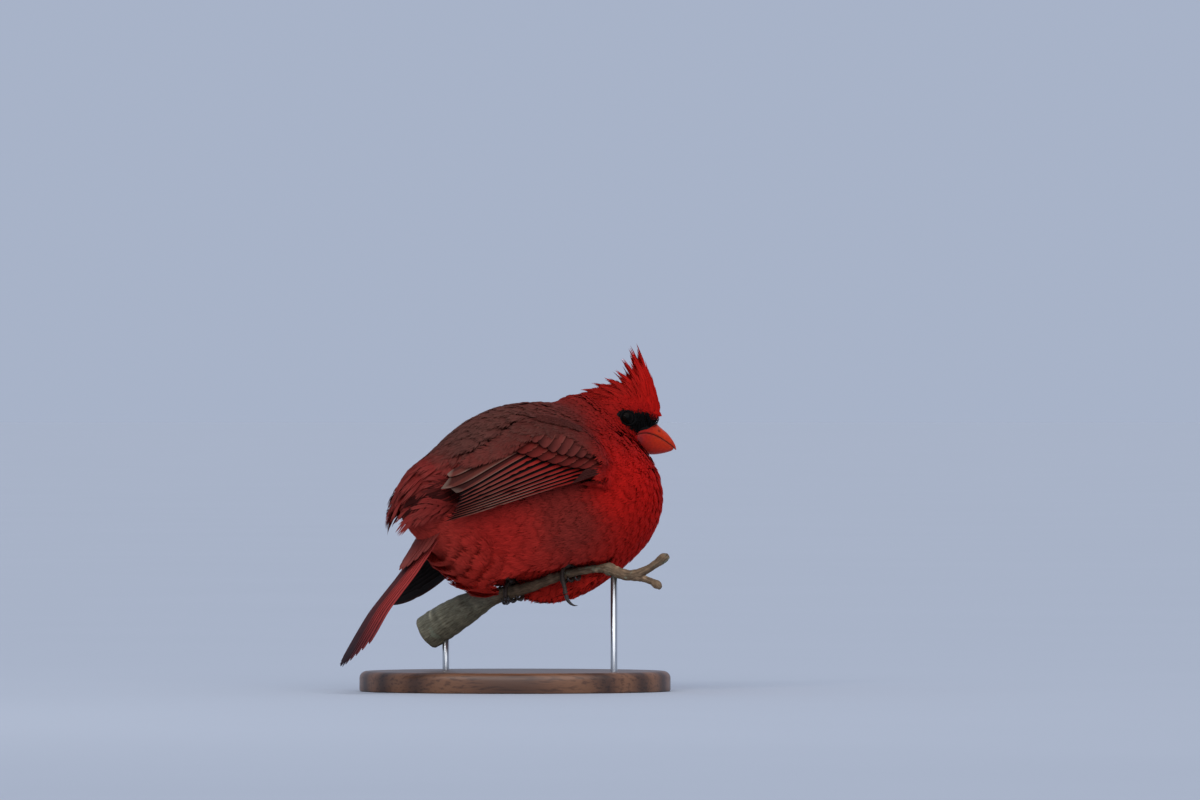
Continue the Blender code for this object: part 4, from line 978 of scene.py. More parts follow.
grown(
    "plumage_over_perch", lines, normals, sides, length, contour, markings(lines[:, 3]) * 1.4,
    np.tile([0.5, 0.6], (len(lines), 1)) + 0.1 * draw.uniform(-1, 1, (len(lines), 2)), body_finish,
)

# The rump: tiers of long loose pinkish plumes that stand out over the root of the tail. Each
# tier has the middles (a, c) of the arcs that its roots and its tips lie on, those arcs' half
# widths and heights, and its sweep to each side in degrees.
RUMP_TIERS = (
    ((-43, 0), (16.5, 19.5), (-66, 1), (11, 11.5), 80),
    ((-47, 0), (16, 18.8), (-70, -3), (9.5, 11), 85),
    ((-50, 0), (15.5, 18), (-73, -8), (8, 10.5), 82),
    ((-53, -1.5), (14, 16.5), (-74.5, -12), (7.2, 9.8), 78),
    ((-56, -3), (12, 15), (-76, -17), (6.5, 9), 74),
)


def squared_to(ways, line):
    """Directions turned to stand square on a line's way, which may have any length."""
    return unit(ways - (ways * line).sum(-1, keepdims=True) / (line**2).sum(-1, keepdims=True) * line)


def in_tiers(tiers, count, scatter, reaches, up, back, swell, drift=0.0):
    """Centre lines, normals and sides of loose plumes, in tiers on arcs over or under the body.

    Each line runs straight from its root to its tip, bowed outwards by swell mm in its middle
    and sunk at its root. up is 1 over the body and -1 under it. back is how far a plume's
    outward direction leans to the rear, and drift how far its tip strays along the arc.
    """
    found = []
    t = np.linspace(0, 1, STATIONS)[None, :, None]
    for root_mid, root_size, tip_mid, tip_size, sweep in tiers:
        angle = np.radians(np.linspace(-sweep, sweep, count) + draw.normal(0, scatter, count))[:, None]
        reach = draw.uniform(*reaches, (count, 1))
        ends = []
        for (a, c), (wide, high) in ((root_mid, root_size), (tip_mid, tip_size)):
            ends.append(np.stack([a + 0 * angle, wide * np.sin(angle), c + up * high * np.cos(angle)], -1))
            if drift and len(ends) == 1:
                angle = angle + draw.normal(0, drift, (count, 1))
        root, tip = ends
        tip = root + (tip - root) * reach[..., None]
        out = np.stack([back + 0 * angle, np.sin(angle), up * np.cos(angle)], -1)
        line = mixed(root, tip, t) + out * 4 * t * (1 - t) * swell - out * 2.2 * (1 - t) ** 2
        way = np.gradient(line, axis=1)
        face = squared_to(np.broadcast_to(out, line.shape), way)
        found.append((from_body(line), face @ BODY_TURN.T, unit(np.cross(face, way)) @ BODY_TURN.T))
    return (np.concatenate(some) for some in zip(*found))


def arc_length(lines):
    """How long each of many lines is, in mm."""
    return np.linalg.norm(np.diff(lines, axis=1), axis=-1).sum(1)


loose = [plume_pattern(20, 0.17, 5, 400 + k, fringe=0.14, base=0.25) for k in range(6)]
lines, normals, sides = in_tiers(RUMP_TIERS, 18, 4, (0.75, 1.08), 1, -0.7, 3.2, drift=0.07)
length = arc_length(lines)
# A painted shadow darkens the rump plumes beside the right wing's tips, as of a hollow, at this world x and z
HOLLOW_SHADE_PLACE = (-37.5, 89)
apart = ((lines[:, 2:, 0] - HOLLOW_SHADE_PLACE[0]) ** 2 + (lines[:, 2:, 2] - HOLLOW_SHADE_PLACE[1]) ** 2).min(1)
hollow_shade = 1 - 0.93 * (np.exp(-apart / 12) * (in_body(lines[:, 3])[:, 1] < 2))[:, None]
grown(
    "plumage_rump", lines, normals, sides, length, loose,
    np.tile(srgb(112, 34, 30), (len(lines), 1)) * draw.uniform(0.85, 1.15, (len(lines), 1)) * hollow_shade,
    np.tile([0.0, 0.85], (len(lines), 1)) + 0.1 * draw.uniform(0, 1, (len(lines), 2)), body_finish,
    tip_tone=(np.tile(srgb(150, 74, 66), (len(lines), 1)) * hollow_shade, np.full(len(lines), 0.4)),
)

# The vent: tiers of warm red plumes from the rear of the belly, which lie close under it and
# under the root of the tail. They are soft like the body's own, told as the rump's tiers are,
# and cut off where they would meet the branch.
VENT_TIERS = (
    ((-20, -10), (28.5, 32.3), (-33, -10), (30, 32.5), 45),
    ((-28, -9), (26.5, 31), (-40.5, -8), (28, 31), 55),
    ((-33, -9), (24.5, 28.5), (-46, -5), (24, 29), 62),
    ((-38.5, -7), (23.5, 27), (-52, -4), (18.5, 26), 72),
    ((-44, -5), (20, 23.6), (-58, -4), (13, 23.5), 80),
)
lines, normals, sides = in_tiers(VENT_TIERS, 34, 1.6, (0.66, 1.04), -1, -0.3, 1.6)
lines, normals, sides, length, _ = kept_clear(lines, normals, sides, arc_length(lines))
grown(
    "plumage_vent", lines, normals, sides, length, contour,
    markings(lines[:, 2]) * draw.uniform(0.9, 1.08, (len(lines), 1)),
    np.tile([0.3, 0.85], (len(lines), 1)) + 0.1 * draw.uniform(0, 1, (len(lines), 2)), body_finish,
    tip_tone=(np.tile(srgb(150, 56, 46), (len(lines), 1)), np.full(len(lines), 0.25)),
)

# The wings: stiff overlapping vanes in fans over the folded arm. Each has twelve flight feathers,
# red-brown with pale worn edges and dark inner webs, and over their roots ten greater, nine
# median and six primary coverts and three thumb feathers. The inner webs of the flight feathers
# and of the greater and median coverts are dark partly by their own colour and partly by
# painted shade under the edge of the vane above. The far wing hangs lower and sags.
FLIGHT_ROOTS = (
    (-15, 31), (-12.3, 30), (-9, 28.7), (-5.2, 27.2), (-0.9, 25.5), (3.5, 23.8),
    (8, 22), (12, 20.2), (15, 18.6), (16.4, 16.8), (16.4, 14.9), (15.4, 13),
)
FLIGHT_TIPS = (
    (-59.4, 13), (-62.2, 5.5), (-57.2, 3.6), (-56.4, 2), (-56.8, 0.4), (-57.5, -1.2),
    (-58, -2.8), (-58.5, -4.2), (-59.1, -5.4), (-59.8, -6.6), (-60.5, -7.8), (-61.1, -9),
)
GREATER_ROOTS = ((-16, 33), (-9.2, 30.2), (-2.6, 27.2), (4, 24.2), (10.6, 21.3), (17, 18.4))
GREATER_TIPS = ((-34, 22.5), (-28, 19.6), (-20.5, 17), (-12.5, 15), (-4.5, 13.8), (3.6, 13.2))
MEDIAN_ROOTS = ((-15, 34), (-10, 33.2), (-4, 32), (3, 29.5), (10.5, 27.6), (18, 26.5))
MEDIAN_TIPS = ((-26, 30), (-23.2, 24.5), (-17, 20.4), (-9.8, 18.4), (-1.5, 17.6), (6.8, 17.6))
FAR_SAG = (-1.0, -6.0, -10.0)
VANE_THICK = 0.32


def wing_point(side, place, level):
    """World points and normals of a wing's side of the body, for (a, c) and levels in mm.

    The surface is the oval side_width, raised along its normal by the level less what the wing
    is sunk there. The far wing is turned down about its wrist, shifted, and held a little wider.
    """
    a, c = place[..., 0], place[..., 1]
    b = side_width(a, c)
    if side > 0:
        b = side_width(0.8 * a, c)
        a, c = far_place(a, c)
        b = np.maximum(b, side_width(a, c))
    level = np.asarray(level) - sunk(side, place[..., 0], place[..., 1])
    (ca, _, cc), (ha, hb, hc) = WING_SIDE_CENTRE, WING_SIDE_HALF
    normal = unit(np.stack([(a - ca) / ha**2, b / hb**2, (c - cc) / hc**2], axis=-1))
    local = np.stack([a, b, c], axis=-1) + normal * level[..., None]
    local[..., 1] *= side
    normal[..., 1] *= side
    return from_body(local), normal @ BODY_TURN.T


def along_row(ends, number):
    """Points of a row at feather numbers: straight between neighbours, run on past its ends."""
    ends = np.array(ends, float)
    base = np.clip(np.floor(number).astype(int), 0, len(ends) - 2)
    t = (number - base)[..., None]
    return mixed(ends[base], ends[base + 1], t)


def fan_place(roots, tips, number, share, bow):
    """Where a feather's number is at a share of its length: from root to tip, bowed by bow mm."""
    t = share[..., None]
    line = mixed(along_row(roots, number), along_row(tips, number), t)
    return line + 4 * t * (1 - t) * bow * np.array([0.15, 1.0])


def doubled(over, under):
    """A grid's values over its upper face, then back across its lower one."""
    return np.concatenate([over, under[:, :, ::-1]], axis=2)


def vanes(name, grid, normal, tint, under, lie, root_patch, slot, nodes=()):
    """One piece of closed thin sheets: feather by feather, rows along it and columns across.

    Each sheet's upper face is the grid and its lower one lies VANE_THICK mm beneath, so a row is
    a closed ring. The root and the tip are closed by quads between the two faces. under is the
    lower face's colour.
    """
    count, rows, columns = grid.shape[:3]
    ring = doubled(grid, grid - normal * VANE_THICK)
    wide = 2 * columns
    quads = grid_faces(rows, wide, closed=True)
    j = np.arange(columns - 1)
    lid = np.stack([j, j + 1, wide - 2 - j, wide - 1 - j], -1)
    quads = np.concatenate([quads[:, ::-1], lid, lid[:, ::-1] + (rows - 1) * wide])
    faces = (quads[None] + (np.arange(count) * rows * wide)[:, None, None]).reshape(-1, 4)
    spread = np.stack(np.meshgrid(np.linspace(-1, 1, rows), np.linspace(-1, 1, columns), indexing="ij"), -1)
    spread = np.broadcast_to(spread, (count, rows, columns, 2))
    patch = root_patch[:, None, None, :] + doubled(spread, spread) * PATCH_HALF
    piece(
        name, ring.reshape(-1, 3), faces, vane_finish, slot, nodes,
        tint=doubled(tint, under).reshape(-1, 3), lie=doubled(lie, lie).reshape(-1, 3),
        patch=patch.reshape(-1, 2)[faces],
    )


# Where a vane's columns lie across it: close together at the shaft, which stands up as a ridge
ACROSS = np.array([-1, -0.8, -0.58, -0.36, -0.16, -0.06, 0, 0.08, 0.24, 0.5, 0.76, 0.92, 1.0])


def vane_shares(count, rows, tip_share, seed):
    """Shares along and across each vane, its width with a rounded tip, and small worn notches."""
    draw = np.random.default_rng(seed)
    share = np.linspace(0, 1, rows) ** 0.8
    end = np.clip((share - (1 - tip_share)) / tip_share, 0, 1)
    width = np.maximum(np.sqrt(1 - end**2), 0.05)
    notch = 1 - 0.22 * (draw.random((count, rows)) < 0.1) * (share > 0.25)
    return share[None, :, None] * np.ones((count, 1, len(ACROSS))), (width * notch)[:, :, None] * ACROSS


def wing_tier(side, roots, tips, count, numbers, level, step, sink, inner, outer, bow, tip_share, seed):
    """Grids, normals, shares and widths of one tier of a wing's vanes, tucked like roof tiles.

    A vane spans inner numbers above its own to outer numbers below, and is raised by step for
    each number towards its lower edge. The shaft stands up as a fine ridge. bow may be several
    values, which are spread over the tier's numbers.
    """
    share, across = vane_shares(count, 30, tip_share, seed)
    own = np.linspace(*numbers, count)[:, None, None]
    offset = np.where(across < 0, across * inner, across * outer)
    lift = level + step * offset - sink * np.maximum(1 - share / 0.3, 0)
    lift = lift + 0.2 * np.exp(-((across / 0.07) ** 2)) * (1 - 0.7 * share)
    number = own + offset
    number = np.where(number < -0.25, -0.25 + 0.12 * (number + 0.25), number)
    bow = np.atleast_1d(bow)
    bow = np.interp(number, np.linspace(0, numbers[1], len(bow)), bow)
    grid, normal = wing_point(side, fan_place(roots, tips, number, share, bow[..., None]), lift)
    return grid, normal, share, across


vane_finish = plumage_finish("vane_webs", 0.2, 0.6)
RED_WEB, TERTIAL_WEB, WORN_WEB = srgb(134, 30, 26), srgb(92, 44, 36), srgb(84, 50, 42)
# The dusky web colour also serves as painted shade where a vane lies under the edge of the one above
DUSKY_WEB_AND_SHADE, PALE_EDGE = srgb(20, 13, 13), srgb(160, 140, 122)
COVERT_WEBS = {"median": srgb(98, 42, 36), "greater": srgb(100, 32, 27)}
UNDERSIDE = srgb(46, 44, 44)
for side_name, side in (("left", 1), ("right", -1)):
    tips = np.array(FLIGHT_TIPS, float)
    if side > 0:
        number = np.arange(len(tips))
        tips[:, 0] += 18 * np.maximum(1 - number / 7, 0) - 0.2 * number
        tips[:, 1] += 0.15 * number
    # Each tier: its rows, how many vanes, their first and last number on the rows, then level,
    # step, sink, inner, outer, bow and the rounded tip's share, as wing_tier takes them
    tiers = (
        (
            "flight", FLIGHT_ROOTS, tips, 12, (0, 11),
            0.2, 0.95, 1.0, 1.4, 0.62, FAR_SAG if side > 0 else 2.6, 0.2,
        ),
        ("greater", GREATER_ROOTS, GREATER_TIPS, 10, (-0.4, 5), 2.2, 0.6, 1.4, 0.9, 0.36, 0.9, 0.3),
        (
            "primary_covert", ((13, 16.4), (13.2, 13.0)), ((-2, 12.2), (-8, 7.4)), 6, (0, 1),
            2.0, 0.8, 1, 0.3, 0.14, 0.5, 0.3,
        ),
        ("median", MEDIAN_ROOTS, MEDIAN_TIPS, 9, (0.5, 5.0), 3.9, 0.5, 2.2, 0.75, 0.34, 2.0, 0.4),
        (
            "thumb", ((14, 15.8), (14, 13.2)), ((2.5, 11.9), (-1.5, 9.2)), 3, (0, 1),
            2.5, 0.7, 1.6, 0.5, 0.26, 0.6, 0.3,
        ),
    )
    for tier, roots_row, tips_row, count, *form in tiers:
        grid, normal, share, across = wing_tier(side, roots_row, tips_row, count, *form, 40 + count)
        if side > 0:
            grid, normal = grid[:, :, ::-1], normal[:, :, ::-1]
            share, across = share[:, :, ::-1], across[:, :, ::-1]
        own = np.linspace(0, 1, count)[:, None, None] * np.ones_like(share)
        uneven = np.random.default_rng(60 + count).uniform(0.9, 1.1, (count, 1, 1, 1))
        if tier in COVERT_WEBS:
            # Darker towards the inner web: partly the covert's own colour, partly painted shade under the
            # edge of the covert above
            body = COVERT_WEBS[tier] * (1 - 0.75 * np.clip((0.1 - across) / 0.5, 0, 1)[..., None])
            edge = np.clip((across - 0.6) / 0.3, 0, 1) * np.clip((0.97 - across) / 0.06, 0, 1) * 0.3
            tone = mixed(body, srgb(128, 78, 64), edge[..., None])
        elif tier in ("primary_covert", "thumb"):
            edge = np.clip((across - 0.6) / 0.4, 0, 1) * 0.5
            tone = mixed(np.ones_like(grid) * srgb(58, 26, 23), srgb(96, 46, 40), edge[..., None])
        else:
            fade = np.clip((share - 0.4) / 0.4, 0, 1)[..., None]
            top = np.clip(1.7 - own * 6.5, 0, 1)[..., None]
            web = RED_WEB * (1 - fade * 0.75) + WORN_WEB * fade * 0.75
            web = mixed(web, TERTIAL_WEB, top)
            # Dark over the inner web and at the shaft: partly the web's own dusky colour, partly painted
            # shade under the edge of the vane above
            dark = np.clip((0.2 - across) / 0.2, 0, 1)[..., None] * (1 - 0.5 * top)
            tone = mixed(web, DUSKY_WEB_AND_SHADE, dark)
            edge = np.clip((across - 0.7) / 0.25, 0, 1) * np.clip((share - 0.3) / 0.35, 0, 1)
            worn = np.interp(own, (0, 0.18, 0.3, 0.5, 0.75, 1), (0.28, 0.3, 0.08, 0.15, 0.6, 0.75))
            edge = (edge * worn)[..., None]
            edge = np.maximum(edge, top * np.clip((share[..., None] - 0.95) / 0.05, 0, 1) * 0.5)
            tone = mixed(tone, PALE_EDGE, edge)
            tone = tone * np.interp(own, (0, 0.3, 0.6, 1), (1, 1.15, 0.92, 0.76))[..., None]
        tone = tone * uneven
        under = tone * 0.25 + UNDERSIDE * 0.75
        long = np.linalg.norm(grid[:, 0, 6] - grid[:, -1, 6], axis=-1)[:, None, None]
        wide = np.linalg.norm(grid[:, 10, 0] - grid[:, 10, -1], axis=-1)[:, None, None]
        reach = across * wide / 2
        own_seed = np.arange(count)[:, None, None] * 7.3 + np.zeros_like(share)
        lie = np.stack([reach * 0.9, share * long - np.abs(reach) * 1.1, own_seed], -1)
        root_patch = np.stack([
            np.full(count, 0.25 if side > 0 else 0.75), 0.35 + 0.02 * np.arange(count) * 18 / count / 2
        ], -1)
        vanes(
            "wing_" + side_name + "_" + tier, grid, normal, tone, under, lie, root_patch,
            "wing_vanes", ("wing_" + side_name,) if tier == "flight" else (),
        )

# The folded arm of each wing: a soft pillow of flesh under the coverts, with two rows of small
# lesser coverts over its upper part, which are soft plumes like the body's.
ARM_RINGS, ARM_SPOKES = 17, 24
LESSER_PER_ROW = 15
# The rows of lesser coverts, each with its number, level and length in mm
LESSER_ROWS = ((1.0, 4.6, 6.5), (0.2, 4.9, 6.0))
for side_name, side in (("left", 1), ("right", -1)):
    u, v = over_ball(ARM_RINGS, ARM_SPOKES)
    place = np.array([0.0, 26.0]) + np.cos(u)[..., None] * (17.5, -7.7)
    place = place + (np.sin(u) * np.cos(v))[..., None] * (4.2, 8.2)
    points, _ = wing_point(side, place, 0.2 + 2.6 * np.sin(u) * np.sin(v))
    faces = grid_faces(ARM_RINGS, ARM_SPOKES, closed=True)
    faces = faces if side < 0 else faces[:, ::-1]
    arm = points.reshape(-1, 3)
    row, column = np.divmod(faces, ARM_SPOKES)
    piece(
        "wing_arm_" + side_name, arm, faces, skin_finish, "wing_vanes",
        tint=np.ones_like(arm) * srgb(96, 44, 40), patch=np.stack([0.4 + column / 400, 0.4 + row / 400], -1),
    )
    starts, ends, levels = [], [], []
    for at, level, reach in LESSER_ROWS:
        t = (np.arange(LESSER_PER_ROW) + at % 1)[:, None] / LESSER_PER_ROW
        end = mixed(np.array([-17.0, 33.2]), np.array([1.0, 28.8]), t) + at * np.array([1.8, 2.0])
        starts.append(end + np.array([0.8, 0.6]) * reach)
        ends.append(end)
        levels.append(np.full(LESSER_PER_ROW, level))
    start, end, level = np.concatenate(starts), np.concatenate(ends), np.concatenate(levels)
    share = np.linspace(0, 1, STATIONS)
    place = mixed(start[:, None], end[:, None], share[None, :, None])
    lines, normals = wing_point(side, place, level[:, None] - 1.2 + 1.3 * share[None, :])
    way = np.gradient(lines, axis=1)
    sides = unit(np.cross(normals, way))
    length = np.linalg.norm(lines[:, -1] - lines[:, 0], axis=-1)
    count = len(lines)
    tone = np.tile(srgb(80, 37, 32), (count, 1)) if side < 0 else markings(lines[:, 3])
    tone = tone * rng.uniform(0.88, 1.1, (count, 1))
    grown(
        "wing_lesser_" + side_name, lines, normals, sides, length, contour, tone,
        np.tile([0.75 if side < 0 else 0.25, 0.3], (count, 1)), body_finish,
        tip_tone=(np.tile(srgb(112, 66, 56), (count, 1)), np.full(count, 0.3)), slot="wing_vanes",
    )

# The tail: twelve long dull red feathers with dusky inner webs and tips, laid like roof tiles
# from the middle pair outwards, with soft coverts over and under their roots.
TAIL_LINE = (
    (-32, 6), (-44.5, -1.5), (-53.5, -11.5), (-62, -23), (-69.5, -32.2),
    (-77.5, -40.8), (-84.5, -48.6), (-90.5, -57), (-96.3, -65.3), (-102.5, -73.5),
)
TAIL_ROLL = np.radians(-8)


def tail_point(share, across, level):
    """World points of the tail: share of its line, mm to its left and mm above it.

    The tail's section is an arch: it falls by 0.016 of the square of the distance across.
    """
    line = smooth_line([(a, 0, c) for a, c in TAIL_LINE], 121)
    knots = np.linspace(0, 1, 121)
    tilt = np.gradient(line, axis=0)
    tracks = (line[:, 0], line[:, 2], tilt[:, 0], tilt[:, 2])
    a, c, da, dc = (np.interp(share, knots, values) for values in tracks)
    size = np.hypot(da, dc)
    rise = level - 0.016 * across**2 + across * np.sin(TAIL_ROLL)
    local = np.stack([a + dc / size * rise, across * np.cos(TAIL_ROLL), c - da / size * rise], axis=-1)
    return from_body(local)


def tail_tier(name, count, start, end, shorter, half, level, step, tones, seed, nodes=()):
    """One tier of tail feathers, count to each side, the middle pair uppermost."""
    share, across = vane_shares(2 * count, 34, 0.13, seed)
    side = np.repeat([1.0, -1.0], count)[:, None, None]
    number = np.tile(np.arange(count), 2)[:, None, None]
    length = end - shorter * (number / max(count - 1, 1)) ** 1.5
    spot = start + (length - start) * share
    inner = np.where(number == 0, 0.8, 1.5)
    offset = np.where(across < 0, across * inner, across * 0.6)
    pitch = (half[0] + (half[1] - half[0]) * share) / count
    left = side * (number + offset + 0.4) * pitch
    lift = level + step * offset + 0.2 * side
    ridge = 0.22 * np.exp(-((across / 0.07) ** 2)) * (1 - 0.7 * share) * np.sign(step)
    grid = tail_point(spot, left, lift + ridge)
    flat = tail_point(spot, left, lift + ridge + 1) - grid
    if step < 0:
        grid = grid + flat * VANE_THICK
    web, dusk, tip = tones
    dark = np.clip((0.05 - across) / 0.2, 0, 1)[..., None] * 0.75
    dark = np.maximum(dark, np.where(side > 0, 0.85, np.clip(0.45 - 0.2 * number, 0, 1))[..., None])
    ends = np.clip((share - 0.6) / 0.3, 0, 1)[..., None] * np.clip(0.95 - number[..., None] * 0.1, 0.5, 1)
    tone = mixed(mixed(web, dusk, dark), tip, ends)
    tone = tone * np.random.default_rng(seed).uniform(0.9, 1.12, (2 * count, 1, 1, 1))
    reach = across * 4.5
    lie = np.stack([reach, share * 90 - np.abs(reach) * 1.1, number * 7.3 + side + 0 * share], -1)
    turn = np.broadcast_to(side > 0, share.shape)[..., None]
    grid, flat, tone, lie = (np.where(turn, v[:, :, ::-1], v) for v in (grid, flat, tone, lie))
    patches = np.stack([0.5 + 0.01 * number[:, 0, 0] * side[:, 0, 0], 0.9 + 0 * side[:, 0, 0]], -1)
    vanes(name, grid, flat, tone, tone, lie, patches, "tail_vanes", nodes)


tail_tones = (srgb(158, 56, 52), srgb(46, 36, 38), srgb(46, 37, 41))
tail_tier("tail_feathers", 6, 0.1, 1.0, 0.14, (8.5, 11.6), 0.0, 0.36, tail_tones, 71, ("tail",))
cover_tones = (srgb(122, 44, 39), srgb(96, 38, 34), srgb(128, 62, 55))
tail_tier("tail_upper_coverts", 4, 0.04, 0.45, 0.1, (13, 10.5), 2.6, 0.3, cover_tones, 72)
under_tones = (srgb(128, 44, 38), srgb(100, 40, 36), srgb(128, 62, 56))
tail_tier("tail_under_coverts", 3, 0.12, 0.42, 0.08, (6.5, 6.5), -1.4, -0.4, under_tones, 73)

# The crest: fine pointed plumes from the crown, raised and drawn together into a few loose
# spikes, smooth along the front and ragged down to the nape. CREST_TIPS are the spikes' ends.
CREST_TIPS = (
    (-11.6, 36.4), (-12.8, 31.0), (-13.6, 24.6), (-15.0, 18.0), (-18.2, 12.6), (-21.8, 8.2),
    (-25.4, 3.4), (-29.0, -0.6),
)
CREST_COUNT = 520
count = CREST_COUNT
spikes = len(CREST_TIPS) - 1
q = (np.arange(count) + rng.uniform(0, 1, count)) / count
root_f = np.minimum(12.4 - 25.5 * q + rng.normal(0, 0.5, count), 11.6)
half = 11 * np.sqrt(np.clip(1 - ((root_f + 1) / 14.5) ** 2, 0.04, 1))
root_l = half * rng.uniform(-1, 1, count)
crown = 0.5 + 13 * np.sqrt(np.maximum(1 - ((root_f + 1) / 15) ** 2 - (root_l / 12.6) ** 2, 0.0))
root = np.stack([root_f, root_l, crown - 2.2], -1)
spike = np.clip(np.round(q * spikes + rng.normal(0, 0.25, count)), 0, spikes) / spikes
loose = rng.random(count) < 0.45
drawn = np.where(loose, q, 0.88 * spike + 0.12 * q)
shares = np.linspace(0, 1, len(CREST_TIPS))
tips = np.array(CREST_TIPS, float)
outer = 1 - 0.25 * np.maximum(np.abs(root_l) / 8 - 0.2, 0)
reach = np.where(loose, 0.86, 1.03) * rng.uniform(0.22, 1.0, count) ** 0.45 * outer
top = np.stack([
    np.interp(drawn, shares, tips[:, 0]), root_l * (0.22 + 0.5 * q), np.interp(drawn, shares, tips[:, 1])
], -1)
tip = root + (top - root) * reach[:, None]
out = np.stack([np.full(count, 0.78), root_l * 0.09, np.full(count, 0.62)], -1)
knee = (root + tip) / 2 + out * ((2.6 - 0.6 * q) * reach)[:, None] + rng.normal(0, 0.35, (count, 3))
t = np.linspace(0, 1, STATIONS)[None, :, None]
path = (1 - t) ** 2 * root[:, None] + 2 * t * (1 - t) * knee[:, None] + t**2 * tip[:, None]
way = np.gradient(path, axis=1)
outward = np.stack([np.full(count, 0.5), np.sign(root_l) + root_l * 0.1, np.full(count, 0.1)], -1)
normals = squared_to(np.broadcast_to(outward[:, None], path.shape), way)
sides = unit(np.cross(normals, way))
length = arc_length(path)
pointed = [plume_pattern(14, 0.075, 5, 300 + k, fringe=0.12, base=0.22, taper=1.5) for k in range(6)]
tone = mixed(srgb(178, 18, 12), srgb(150, 26, 20), q[:, None]) * rng.uniform(0.92, 1.08, (count, 1))
grown(
    "crest", from_head(path), normals @ HEAD_TURN.T, sides @ HEAD_TURN.T, length, pointed, tone,
    np.stack([0.5 + root_l / 200, 0.1 + q * 0.05], -1), body_finish, root_dark=0.9, nodes=("crest",),
    tip_tone=(np.tile(srgb(150, 40, 36), (count, 1)), np.full(count, 0.3)),
)

# The bill: a thick coral cone in two closed halves that meet along a bent mouth line, the upper
# one with a rounded ridge and a nostril near each side of its base. It is horn, orange on the
# ridge and purplish grey at the base. The nostrils and a band along the mouth line are darkened
# with painted shade, and a thin dark sheet between the halves is painted shade in the mouth's gap.
BILL_RIDGE = (
    (4.5, 2.4), (8, 2.6), (13, 2.4), (14.8, 1.8), (17.5, 1.0), (19.8, 0.2), (23, -1.6), (25.1, -3.3),
    (26.3, -4.8),
)
BILL_MOUTH = (
    (4.5, -6.6), (6, -5.3), (8, -4.2), (10.5, -3.5), (14.5, -3.2), (18.7, -3.6), (24, -4.5), (26.5, -5.5),
)
BILL_KEEL = (
    (4.5, -12.2), (8, -12.4), (13, -12), (16, -11.4), (18.6, -10.3), (22, -8.2), (24.6, -6.1), (25.4, -5.3),
)
BILL_HALF_WIDTH = (
    (4.5, 8.9), (6.5, 8.8), (8, 8.4), (10.5, 7.6), (13, 6.6), (16, 5.5), (19, 4.3), (22, 3.0), (24.6, 1.5),
    (26.3, 0.35),
)
# The nostril's place forward and up, where the bill starts, and half the gap of the mouth
NOSTRIL = (14.6, -0.6)
BILL_START = 4.6
MOUTH_GAP = 0.14
BLUNT = 0.8


def eased(knots, f):
    """The value at f of a smooth line through knots of (f, value)."""
    line = smooth_line(knots, 90)
    return np.interp(f, line[:, 0], line[:, 1])


